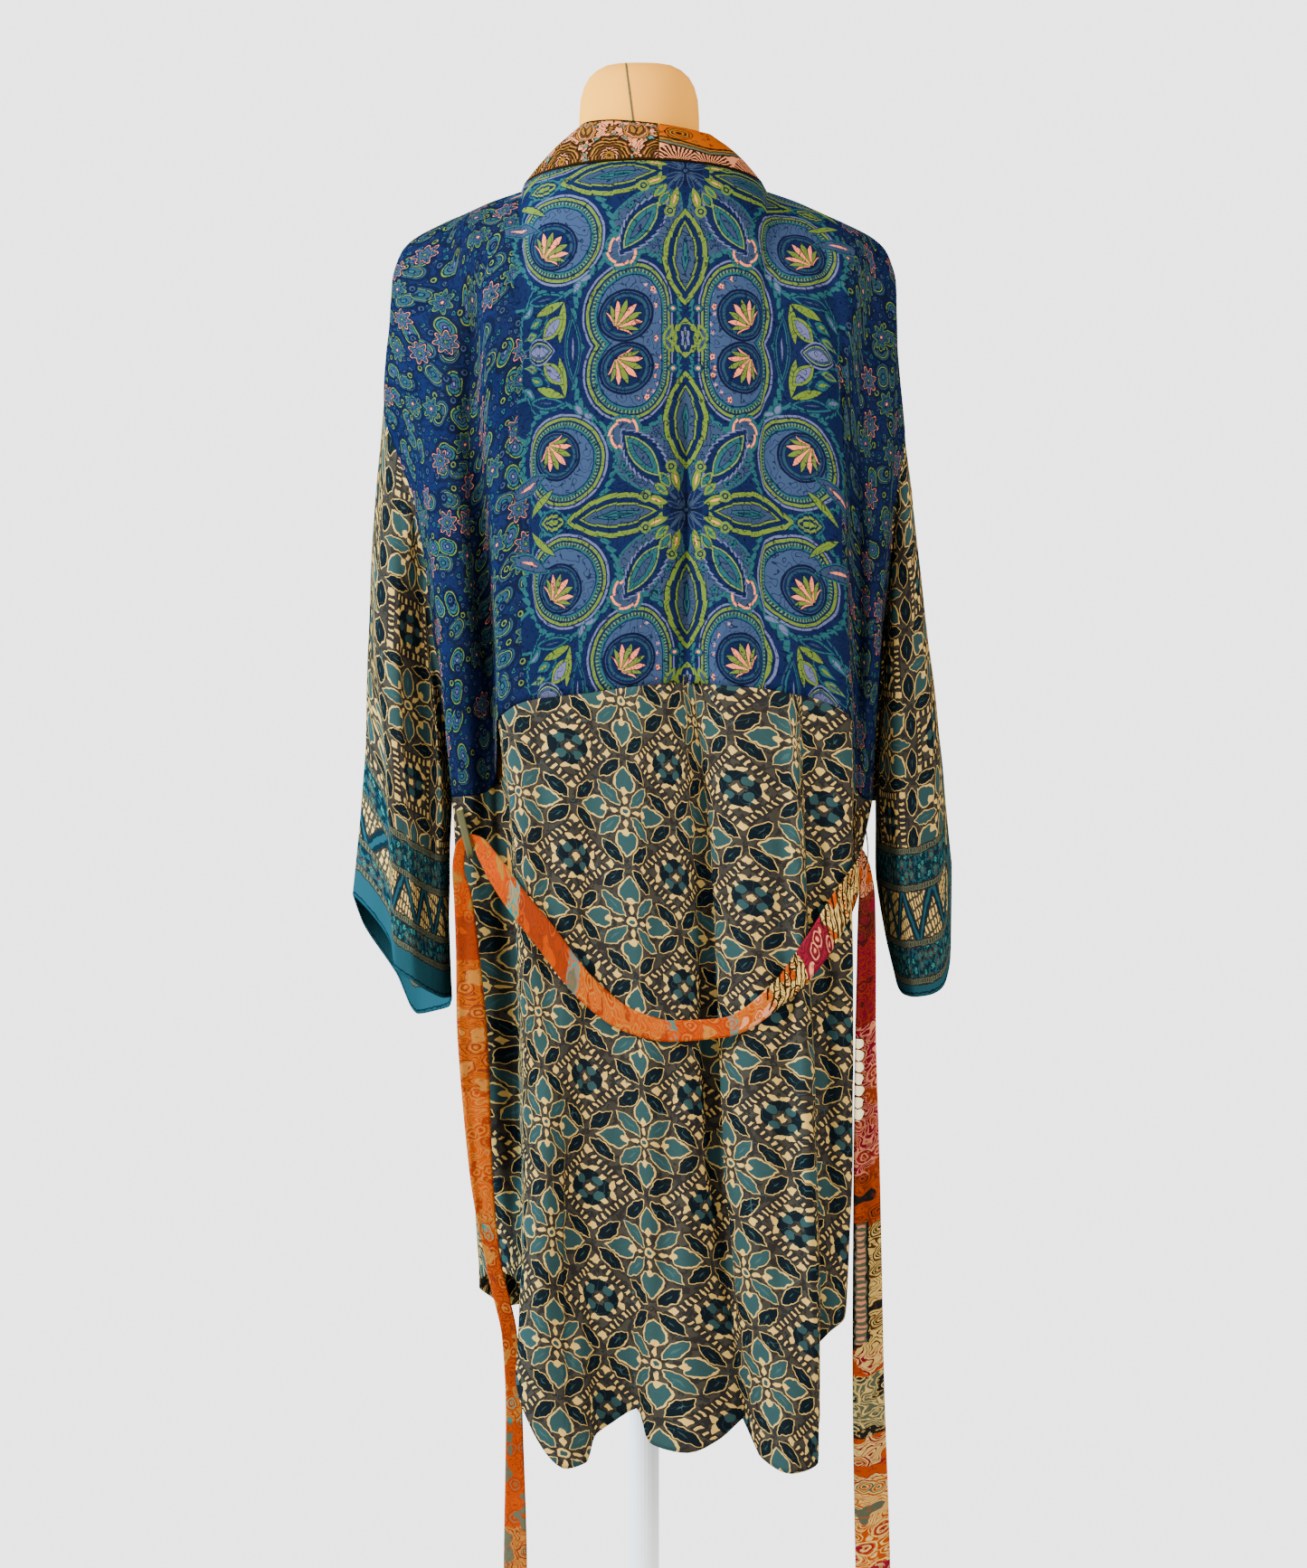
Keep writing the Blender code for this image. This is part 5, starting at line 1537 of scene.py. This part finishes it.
@dataclass(frozen=True)
class BlockPrint:
    """The block print: flowers of leaves and hearts, between them squares framed with dashes."""

    name: str = "block print"
    half: float = 60.0
    turn: float = 0.0
    middle: tuple[float, float] = (0.0, 0.0)
    squeeze: float = 0.845
    climb: float = 0.19
    lean: float = 0.06
    wobble: float = 2.2

    def border(self, paper: Paper, cloth: Any) -> None:
        """Paint what lies over the print."""

    def material(self) -> bpy.types.Material:
        """Make the material.

        Returns:
            The material.
        """
        paper = Paper(self.name, Ink.BROWN, 0.8)
        cloth = paper.cut(self.wobble, 8.0)
        across, up = paper.parts(cloth)
        across = across * self.squeeze
        skewed = paper.joined(across + up * self.lean, up + across * self.climb)
        a, b = (way.fold(self.half) for way in paper.parts(paper.seen_from(skewed, *self.middle, self.turn)))
        high, low = paper.math("MAXIMUM", a, b), paper.math("MINIMUM", a, b)
        place = paper.joined(high, low)
        near = self.half - high
        along = abs(near - self.half + low) * 0.7071
        strip = abs(near + self.half - low - 40.0)
        dashes = strip.under(4.4) * along.under(22.0) * (along / 6.8 + 0.25).share().under(0.34)
        paper.lay_all((paper.noise(cloth, 9.0, 3.0).between(0.53, 1.0) * 0.9, Ink.DARK_BROWN),
                      (paper.noise(cloth, 60.0, 2.0).over(0.5) * 0.3, Ink.DARK_BROWN),
                      (strip.under(6.8) * along.under(23.0), Ink.DARK_BROWN), (dashes, Ink.CREAM))
        paper.draw(paper.joined(self.half - low, near), SQUARE_MOTIFS)
        paper.lay((near + low).between(1.5, 3.0) * high.over(50.0), Ink.DARK_BROWN)
        paper.draw(place, BLOCK_MOTIFS)
        way = (high - 20.0) / 30.0
        inside = paper.limited(way)
        edge = paper.math("SQRT", inside) * (1.0 - inside) * 31.5 - low
        paper.lay_all((edge.over(0.0) * way.between(0.02, 1.0), Ink.CREAM),
                      (edge.over(1.9) * way.between(0.07, 0.95), Ink.LEAF))
        paper.draw(place, EYE)
        paper.lay_all((abs(paper.noise(cloth, 17.0, 0.0) - 0.5).under(0.006) * 0.6, Ink.LEAF_LIGHT),
                      (paper.noise(cloth, 90.0, 2.0) * 0.25, Ink.DARK_BROWN))
        self.border(paper, cloth)
        return paper.finished(cloth)


@dataclass(frozen=True)
class CuffPrint(BlockPrint):
    """A sleeve's print: the block print turned by 45 degrees over the borders of its cuff."""

    name: str = "sleeve print"
    turn: float = 45.0
    squeeze: float = 0.62
    climb: float = 0.0
    lean: float = 0.0
    wobble: float = 2.0
    edges: tuple[float, float, float, float] = (34.0, 64.0, 116.0, 155.0)
    cord: float = 3.0

    def border(self, paper: Paper, cloth: Any) -> None:
        """Paint the cuff's borders.

        Args:
            paper: the finish.
            cloth: the place on the flat cloth.
        """
        u, v = paper.parts(cloth)
        hem, low, high, top = self.edges
        span = top + 8.0
        grounds = f"0 CUFF_TEAL {hem} CUFF_TEAL {low} BROWN {high} CUFF_TEAL {top} BROWN"
        paper.lay(v.under(top), paper.ramp(v / span, grounds, span))
        flowered = v.between(hem, low) + v.between(high, top)
        paper.lay(flowered * paper.noise(cloth, 7.0, 2.0).under(0.52), Ink.CUFF_DARK)
        paper.strew(cloth, Blossoms(13.0, 6.6, 5, "0 BROWN .2 SEA .55 CUFF_DARK",
                                    "0 SEA .18 CUFF_DARK .34 SEA .5 BROWN", 0.95), flowered)
        middle = v.between(low, high)
        rise = (v - low) / (high - low)
        wedge = abs((u / 34.0).fold(1.0) - rise)
        rungs = ((u + v * 0.3) / 6.4).share().under(0.5) * ((v - u * 0.3) / 13.0).share().under(0.72)
        paper.lay_all((middle * rungs * rise.between(0.08, 0.92), Ink.CREAM),
                      (middle * wedge.under(0.26), Ink.DARK_BROWN),
                      (middle * wedge.under(0.20), Ink.CUFF_DARK),
                      (middle * wedge.under(0.08), Ink.CUFF_TEAL))
        for line in self.edges:
            off = abs(v - line)
            paper.lay_all((off.under(self.cord + 1.6), Ink.DARK_BROWN), (off.under(self.cord), Ink.MOSS),
                          (off.under(self.cord - 0.8) * (u / 4.6).share().under(0.45), Ink.DARK_BROWN))
        paper.lay(v.between(3.0, 5.0), Ink.CUFF_DARK)


# The neckbands' motifs, in photograph pixels from the seam and along it, and their small flowers
ARCHES = table(Motif, """
ROUND 0 8 0 27 36 11 .12 0 DARK_UMBER .14 GOLD .24 DARK_UMBER .34 BLUSH .39 DARK_UMBER .47 UMBER \
.56 DARK_UMBER .64 GOLD .69 DARK_UMBER .79 TAN .84 UMBER .9 DARK_UMBER
DROP 26 54 100 20 11 0 0 0 GOLD .22 DARK_UMBER .32 UMBER .56 BLUSH .66 DARK_UMBER .76 TAN .88 DARK_UMBER
""")
ROSETTES = table(Motif, """
ROUND 22 54 0 17 15 0 0 0 DARK_UMBER .22 MARIGOLD .38 DARK_UMBER .5 GOLD .68 DARK_UMBER \
.78 MARIGOLD .9 DARK_UMBER
""")
ARCH_FLOWERS = (
    Blossoms(11.0, 4.6, 5, "0 GOLD .3 UMBER .6 DARK_UMBER", "0 SEA .35 MOSS .7 DARK_UMBER"),
    Blossoms(19.0, 6.4, 4, "0 PALE_GREEN .25 SEA .66 DARK_UMBER", "0 GOLD .4 UMBER .75 DARK_UMBER", 0.7, 7.0),
)
ORANGE_FLOWERS = Blossoms(12.0, 3.2, 3, "0 DEEP_ORANGE .5 DARK_UMBER", "0 GOLD .6 UMBER", 0.7)


@dataclass(frozen=True)
class BandPrint:
    """A neckband's print: brown arches and sprigs on a pale or an orange ground."""

    side: Side
    roughness: float = 0.6

    def material(self) -> bpy.types.Material:
        """Make the material."""
        return self.arches() if self.side is Side.LEFT else self.orange()

    def arches(self) -> bpy.types.Material:
        """Make the left piece's material.

        Returns:
            The material.
        """
        paper = Paper("neckband arches", Ink.BLUSH, self.roughness)
        cloth = paper.cut(1.8, 7.0)
        across, along = paper.parts(cloth)
        paper.lay((paper.noise(cloth, 22.0) * 8.0).share().under(0.30), Ink.DARK_UMBER)
        for blossoms in ARCH_FLOWERS:
            paper.strew(cloth, blossoms)
        paper.draw(paper.joined((along + 6.0).fold(30.0), across), ARCHES)
        paper.lay_all((across.over(72.0), Ink.DARK_UMBER), (across.under(2.2), Ink.DARK_UMBER))
        return paper.finished(cloth, 8.0)

    def orange(self) -> bpy.types.Material:
        """Make the right piece's material.

        Returns:
            The material.
        """
        paper = Paper("neckband orange", Ink.MARIGOLD, self.roughness)
        cloth = paper.cut(1.6, 7.0)
        across, along = paper.parts(cloth)
        paper.strew(cloth, ORANGE_FLOWERS)
        paper.draw(paper.joined(along, across), ROSETTES)
        wave = across + (along / 60.0).fold(1.0) * 14.0
        paper.lay(wave.under(44.0), paper.ramp(
            wave / 44.0, "0 BLUSH .66 DARK_UMBER .72 MOSS .8 UMBER .86 GOLD .92 DARK_UMBER"))
        suns = paper.seen_from(paper.joined((along + 12.0).fold(52.0), across), 34.0, -6.0)
        away, turn = paper.polar(*paper.parts(suns))
        rays = (turn * 5.5).share().under(0.56) * away.between(9.0, 34.0) * wave.under(30.0)
        paper.lay_all((rays, Ink.DARK_UMBER), (away.under(9.0), Ink.GOLD), (away.under(6.0), Ink.UMBER),
                      (across.under(2.2), Ink.DARK_UMBER))
        return paper.finished(cloth, 8.0)


SASH_PATCHES = table(Patch, """
0 TAN RUST MOSS
.09 ORANGE DEEP_ORANGE MOSS
.18 TAN DEEP_ORANGE SEA
.2 ORANGE RUST TAN
.33 TAN DEEP_ORANGE SEA
.35 ORANGE TAN DEEP_ORANGE
.455 MARIGOLD RUST TAN
.56 DEEP_ORANGE RUST ORANGE
.6 ORANGE DEEP_ORANGE GOLD
.746 SEA TAN DEEP_ORANGE
.757 DEEP_ORANGE RUST ORANGE
.826 SEA ORANGE MOSS
.838 ORANGE TAN DEEP_ORANGE
.925 MOSS SEA ORANGE
.937 ORANGE DEEP_ORANGE TAN
.978 SEA ORANGE TAN
.988 ORANGE TAN BLUSH
1.018 CREAM DARK_UMBER ORANGE
1.06 CRIMSON DARK_RED BLUSH
1.093 CREAM UMBER ORANGE
1.15 BLUSH DARK_UMBER ORANGE
1.225 DARK_RED RUST CRIMSON
1.262 CRIMSON DEEP_ORANGE DARK_RED
1.335 CRIMSON BLUSH DEEP_ORANGE
1.455 ORANGE RUST CHARCOAL
1.5 CREAM UMBER CHARCOAL
1.6 CREAM CRIMSON ORANGE
1.625 MOSS CREAM CHARCOAL
1.675 CREAM CRIMSON ORANGE
1.712 CREAM ORANGE MOSS
1.745 ORANGE CREAM CRIMSON
1.79 CREAM DARK_UMBER CRIMSON
""")


@dataclass(frozen=True)
class SashPrint:
    """The sash's patches, each with curls and small flowers of its own inks."""

    length: float = 1.86
    circles: tuple[float, float] = (1.345, 1.415)
    rails: tuple[float, float] = (1.50, 1.60)
    strokes: tuple[tuple[float, float], ...] = ((1.018, 1.060), (1.093, 1.20))

    def material(self) -> bpy.types.Material:
        """Make the material.

        Returns:
            The material.
        """
        paper = Paper("sash patches", Ink.ORANGE, 0.6)
        cloth = paper.cut(2.0, 8.0)
        across, along = paper.parts(cloth)
        share = along * (PHOTO_PIXEL / self.length)
        bands = (" ".join(f"{patch.start} {getattr(patch, name)}" for patch in SASH_PATCHES)
                 for name in ("ground", "ink", "spot"))
        paper.colour, ink, spot = (paper.ramp(share, text, self.length) for text in bands)
        cells = paper.node("TexVoronoi", {"voronoi_dimensions": "2D"},
                           {"Vector": cloth, "Scale": 1 / 26.0, "Randomness": 0.9})
        ring = Num(paper, cells["Distance"])
        flow = paper.noise(cloth, 22.0)
        paper.lay_all(((flow * 13.0).share().under(0.30) * ring.over(0.34), ink),
                      (ring.between(0.26, 0.32) + ring.between(0.10, 0.15), ink),
                      (ring.under(0.06) + ring.between(0.17, 0.21), spot), (flow.over(0.63), spot),
                      (paper.noise(cloth, 4.0, 2.0).over(0.60) * 0.5, ink))
        metres = along * PHOTO_PIXEL
        rays = ((along + across * 0.8) / 9.0 + flow).share().under(0.34)
        for start, end in self.strokes:
            paper.lay(metres.between(start, end) * rays, Ink.DARK_UMBER)
        dots = metres.between(*self.circles) * across.over(0.0)
        bead = paper.polar((along / 13.0).share() - 0.5, across / 13.0 - 0.62)[0]
        rails = metres.between(*self.rails)
        off = abs(across - 5.0)
        # The last layer darkens the sash along both edges where it is wide: painted shade of its folded edges.
        paper.lay_all((dots * bead.under(0.50), Ink.DARK_UMBER), (dots * bead.under(0.44), Ink.WHITE),
                      (rails * off.under(6.5), Ink.CHARCOAL), (rails * off.under(4.5), Ink.MOSS),
                      (rails * (along / 6.5).share().under(0.45) * off.under(3.4), Ink.BLUSH),
                      (abs(across).over(15.0) * 0.3, Ink.DARK_RED))
        return paper.finished(cloth, strength=0.4)


# A lamp's name, place, side, strength in watts and colour
LAMPS = (
    ("key", (2.5, 1.7, 2.5), 1.3, 720.0, (0.97, 0.99, 1.0)),
    ("rim", (3.0, 0.15, 1.25), 0.8, 340.0, (0.22, 0.66, 1.0)),
    ("fill", (-2.2, 2.0, 1.5), 1.3, 140.0, (1.0, 0.95, 0.88)),
)
AIR_COLOUR = (0.783, 0.783, 0.783, 1.0)
AIR_STRENGTH = 4.13
CUFFS = {Side.LEFT: CuffPrint(), Side.RIGHT: CuffPrint(edges=(17.0, 59.0, 121.0, 162.0))}
SQUARE_STEP = 84.85         # from a flower of the turned block print to the next square, in pixels
# Where a square of the print lies on each sleeve's back
SQUARE_PLACES = {Side.LEFT: (0.1916, 0.9164), Side.RIGHT: (-0.2052, 0.8840)}


@dataclass
class Yokes:
    """The back yoke and the two front yokes, of one paisley silk."""

    robe: Robe
    finish: bpy.types.Material
    repeat_top: float = 1.141       # height of a mirror line of the print at the centre back
    front_shift: float = 0.06       # how far the print is moved at the front edges

    def build(self) -> None:
        """Make the three yokes."""
        grid = self.robe.back_yoke
        middle = fold_place("centre_valley") * self.robe.steps
        cut = lay_flat(grid, middle)
        top = np.interp(self.repeat_top, grid[::-1, middle, 2], cut.v[::-1, middle])
        drop = top - (cut.v - cut.v[-1] + cut.v[-1, middle])
        sheets = [ClothSheet("yoke_back_silk", "back_yoke", "yoke_silk", grid, Cut(cut.u, drop),
                             creases=YOKE_CREASES)]
        for side in Side:
            grid = self.robe.front_yoke[side]
            cut = lay_flat(grid, 0)
            sheets.append(ClothSheet(f"yoke_front_{side.word}_silk", f"front_yoke_{side.word}", "yoke_silk",
                                     grid, Cut(cut.u + self.front_shift, top - cut.v), side.value))
        for sheet in sheets:
            sheet.hang(self.finish, "draped", ["form_torso"])


@dataclass
class Skirts:
    """The back skirt and the two front skirts, of one block print."""

    robe: Robe
    finish: bpy.types.Material
    loops: list[bpy.types.Object]
    flower_x: float = 0.012
    flower_z: float = 0.892
    valley_x: float = -0.0455
    valley_cloth: float = 0.015     # how much cloth the main valley takes up
    valley_width: float = 0.012
    line_share: float = 0.12        # how far down the print's places are counted across
    ripple: float = 0.0006

    def build(self) -> None:
        """Make the three skirts."""
        robe = self.robe
        grid = robe.tuck_skirt(robe.back_skirt, 1.0)
        cut = lay_flat(grid, 0)
        line = grid[int(len(grid) * self.line_share), :, 0]
        anchor, valley = (int(np.argmin(abs(line - x))) for x in (self.flower_x, self.valley_x))
        u = cut.u - cut.u[:, anchor:anchor + 1]
        u = u + self.valley_cloth / (1 + np.exp(-(u - u[:, valley:valley + 1]) / self.valley_width))
        rise = np.array([np.interp(-self.flower_z, -z, v) for z, v in zip(grid[..., 2].T, cut.v.T)]) - cut.v
        sheet = ClothSheet("skirt_back_print", "back_skirt", "block_print", grid, Cut(u, rise),
                           ripple=self.ripple, creases=SKIRT_CREASES)
        sheet.hang(self.finish, "hung", ["back_yoke"], self.loops)
        for side in Side:
            front = robe.tuck_skirt(robe.front_skirt[side], side.value)
            cut = lay_flat(front, 0)
            sheet = ClothSheet(f"skirt_front_{side.word}_print", f"front_skirt_{side.word}", "block_print",
                               front, Cut(cut.u, -cut.v), side.value, self.ripple)
            sheet.hang(self.finish, "hung", [f"front_yoke_{side.word}"])


@dataclass
class Sleeves:
    """The two sleeves, each a tube from its armhole to its printed cuff."""

    robe: Robe
    prints: dict[Side, CuffPrint]
    ripple: float = 0.0006

    def build(self) -> None:
        """Make both sleeves."""
        for side in Side:
            grid = self.robe.sleeve[side]
            cut = lay_flat(grid, 0, closed=True)
            rise = cut.v[-1] - cut.v
            x, z = SQUARE_PLACES[side]
            away = np.hypot(grid[..., 0] - x, grid[..., 2] - z) + (grid[..., 1] < 0)
            place = np.unravel_index(int(away.argmin()), away.shape)
            drawn = self.prints[side]
            middle = (cut.u[place] * PER_PIXEL * drawn.squeeze, rise[place] * PER_PIXEL - SQUARE_STEP)
            sheet = ClothSheet(f"sleeve_{side.word}_print", f"sleeve_{side.word}", "block_print", grid,
                               Cut(cut.u, rise), -side.value, self.ripple,
                               creases=SLEEVE_CREASES[side], closed=True)
            finish = replace(drawn, middle=middle).material()
            sheet.hang(finish, "hung", ["back_yoke", f"front_yoke_{side.word}"])


@dataclass
class Neckbands:
    """The two pieces of the doubled neckband, joined at the nape."""

    robe: Robe
    wall: float = 0.0024
    ripple: float = 0.0003

    def build(self) -> None:
        """Make both pieces."""
        for side in Side:
            grid = self.robe.band[side]
            node = f"neckband_{side.word}"
            sheet = ClothSheet(f"{node}_silk", node, node, grid, lay_flat(grid, 0), side.value, self.ripple,
                               self.wall)
            sheet.hang(BandPrint(side).material(), "draped", ["form_torso", "back_yoke"])


@dataclass
class Sash:
    """The patchwork sash through both belt loops."""

    robe: Robe
    finish: bpy.types.Material
    wall: float = 0.0030
    spaces: int = 8
    ripple: float = 0.0007

    def depth(self, row: SashRow) -> float:
        """Find how far back the sash lies at a row.

        Args:
            row: the row.

        Returns:
            The y off the skirt around it, or the row's own.
        """
        if row.lift is None:
            return row.y
        skirt = self.robe.back_skirt
        near = (abs(skirt[..., 0] - row.x) < SASH_REACH) & (abs(skirt[..., 2] - row.z) < SASH_REACH)
        return skirt[near][:, 1].max() + row.lift

    def build(self) -> None:
        """Make the sash."""
        points = [(row.x, self.depth(row), row.z, row.width, math.radians(row.turn) * TURN_WEIGHT)
                  for row in SASH]
        line = along_folds(points, np.linspace(0, len(SASH) - 1, (len(SASH) - 1) * SASH_STEPS + 1))
        forward = unit(np.gradient(line[:, :3], axis=0))
        turn = line[:, 4] / TURN_WEIGHT
        across = unit(np.cross(forward, np.column_stack((-np.sin(turn), np.cos(turn), np.zeros(len(turn))))))
        half = line[:, 3:4] / 2
        shares = np.linspace(-1, 1, self.spaces + 1)
        grid = np.array([line[:, :3] + across * half * share for share in shares]).transpose(1, 0, 2)
        sheet = ClothSheet("sash_patchwork", "sash", "sash", grid, lay_flat(grid, self.spaces // 2), -1.0,
                           self.ripple, self.wall, SASH_CREASES)
        sheet.hang(self.finish, "hung", ["belt_loop_left", "belt_loop_right", "back_skirt"])


@dataclass
class BeltLoops:
    """The two belt loops of narrow tape."""

    finishes: tuple[bpy.types.Material, bpy.types.Material]
    wall: float = 0.0010
    points: int = 64
    spaces: int = 4

    def ring(self, loop: BeltLoop) -> np.ndarray:
        """Lay a belt loop: a flattened ring hanging from its top.

        Args:
            loop: its sizes.

        Returns:
            Its points, [row][column].
        """
        top, low = np.array(loop.top), np.array(loop.low)
        length = np.linalg.norm(low - top)
        down = (low - top) / length
        width_way = unit(np.cross(down, loop.opens))
        open_way = np.cross(width_way, down)
        shares = np.linspace(-0.5, 0.5, self.spaces + 1)
        grid = []
        for step in range(self.points):
            angle = 2 * math.pi * step / self.points
            drop = LOOP_FULLNESS * (1 + math.cos(angle)) / 2
            aside = math.sin(angle) * (LOOP_ROUND + (1 - LOOP_ROUND) * drop) * loop.half_open
            centre = (top + low) / 2 + down * math.cos(angle) * length / 2 + open_way * aside
            grid.append([centre + width_way * loop.width * share for share in shares])
        return np.array(grid).transpose(1, 0, 2)

    def build(self) -> list[bpy.types.Object]:
        """Make both loops.

        Returns:
            The finished pieces.
        """
        pieces = []
        for loop, finish in zip(BELT_LOOPS, self.finishes):
            grid = self.ring(loop)
            slot = loop.name.replace("belt_", "")
            sheet = ClothSheet(f"{loop.name}_tape", loop.name, slot, grid, lay_flat(grid, 0, closed=True),
                               ripple=0.0, wall=self.wall, closed=True)
            pieces.append(sheet.make(finish))
        return pieces


@dataclass
class Form:
    """The linen-covered body of the dress form: its solid keeps its shape and gets a seam at the neck."""

    linen: bpy.types.Material
    thread: bpy.types.Material
    seam_radius: float = 0.0007
    seam_points: int = 28
    seam_top: tuple[float, float] = (691.8, 67.5)       # its upper end, in photograph pixels
    seam_step: tuple[float, float] = (0.38, 3.0)        # from one of its points to the next
    smooth_under: float = math.radians(50)

    def build(self) -> None:
        """Cover the solid with smooth linen and sew the neck's seam."""
        body = link("form_linen_cover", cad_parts["form_torso"].data.copy())
        body.data.materials.clear()
        body.data.materials.append(self.linen)
        bm = bmesh.new()
        bm.from_mesh(body.data)
        bmesh.ops.remove_doubles(bm, verts=bm.verts, dist=TINY)
        bm.to_mesh(body.data)
        bm.free()
        choose(body)
        bpy.ops.object.shade_smooth_by_angle(angle=self.smooth_under)
        settle(body, "form_torso")
        line = []
        for step in range(self.seam_points):
            px, py = (top + step * way for top, way in zip(self.seam_top, self.seam_step))
            x, z = photo_place(px, py)
            hit, spot, normal, _ = body.ray_cast(Vector((x, 0.4, z)), Vector((0, -1, 0)))
            if hit:
                line.append(spot + normal * self.seam_radius * 0.5)
        curve = bpy.data.curves.new("form_neck_seam", "CURVE")
        curve.dimensions = "3D"
        curve.bevel_depth = self.seam_radius
        curve.bevel_resolution = 2
        spline = curve.splines.new("POLY")
        spline.points.add(len(line) - 1)
        for point, spot in zip(spline.points, line):
            point.co = (*spot, 1.0)
        choose(link("form_neck_seam", curve))
        bpy.ops.object.convert(target="MESH")
        piece = bpy.context.view_layer.objects.active
        piece.data.materials.clear()
        piece.data.materials.append(self.thread)
        settle(piece, None)


@dataclass
class Stand:
    """The pole and round base under the form."""

    metal: bpy.types.Material

    def build(self) -> None:
        """Dress both solids."""
        for node in ("form_pole", "form_base"):
            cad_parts[node].material_slots[0].material = self.metal


@dataclass
class Studio:
    """The pale floor, the soft lights and the camera behind the robe."""

    floor: bpy.types.Material
    floor_radius: float = 0.85
    floor_z: float = -0.0005
    aim: tuple[float, float, float] = (0, 0, 1.0)       # where the lamps look
    middle_x: float = -0.0079
    middle_z: float = 0.91475
    plane: float = 0.06             # depth of the plane whose height the camera measures
    lens: float = 300.0
    sensor: float = 36
    seen: float = 1.3005            # height of that plane in the picture

    def light(self, name: str, place: tuple[float, float, float], size: float, power: float,
              colour: tuple[float, float, float]) -> None:
        """Hang a soft square light that looks at the robe's middle.

        Args:
            name: the light's name.
            place: where it hangs.
            size: its side.
            power: its strength in watts.
            colour: its colour.
        """
        lamp = bpy.data.lights.new(name, "AREA")
        lamp.size = size
        lamp.energy = power
        lamp.color = colour
        holder = link(name, lamp)
        holder.location = place
        holder.rotation_euler = (Vector(self.aim) - Vector(place)).to_track_quat("-Z", "Y").to_euler()

    def build(self) -> None:
        """Lay the floor, hang the lights and set the camera."""
        bpy.ops.mesh.primitive_circle_add(vertices=96, radius=self.floor_radius, fill_type="NGON",
                                          location=(0, 0, self.floor_z))
        ground = bpy.context.object
        ground.name = "studio_floor"
        ground.data.materials.append(self.floor)
        for lamp in LAMPS:
            self.light(*lamp)
        world = bpy.data.worlds.new("studio air")
        bpy.context.scene.world = world
        world.use_nodes = True
        air = world.node_tree.nodes["Background"]
        air.inputs["Color"].default_value = AIR_COLOUR
        air.inputs["Strength"].default_value = AIR_STRENGTH
        camera = link("camera", bpy.data.cameras.new("camera"))
        camera.data.lens = self.lens
        camera.data.sensor_width = self.sensor
        camera.data.sensor_fit = "AUTO"
        camera.location = (self.middle_x, self.plane + self.seen * self.lens / self.sensor, self.middle_z)
        camera.rotation_euler = (math.pi / 2, 0, math.pi)
        bpy.context.scene.camera = camera


def main() -> None:
    """Build every sub-assembly in order."""
    logging.basicConfig(level=logging.INFO, format="%(message)s")
    robe = Robe(steps=8, row_parts=6)
    robe.lay()
    Yokes(robe, YokePrint().material()).build()
    loops = BeltLoops((Plain("loop olive tape", Ink.OLIVE, second=Ink.MOSS).material(),
                       Plain("loop brown tape", Ink.UMBER, second=Ink.DARK_UMBER).material())).build()
    Skirts(robe, BlockPrint().material(), loops).build()
    Sleeves(robe, CUFFS).build()
    Neckbands(robe).build()
    Sash(robe, SashPrint().material()).build()
    Form(Plain("form linen", Ink.LINEN, 0.85, second=Ink.LINEN_SHADE).material(),
         Plain("seam thread", Ink.MOSS).material()).build()
    Stand(Plain("stand paint", Ink.PAINT, 0.45).material()).build()
    Studio(Plain("studio floor", Ink.PAINT, 0.9).material()).build()


if __name__ == "__main__":
    main()
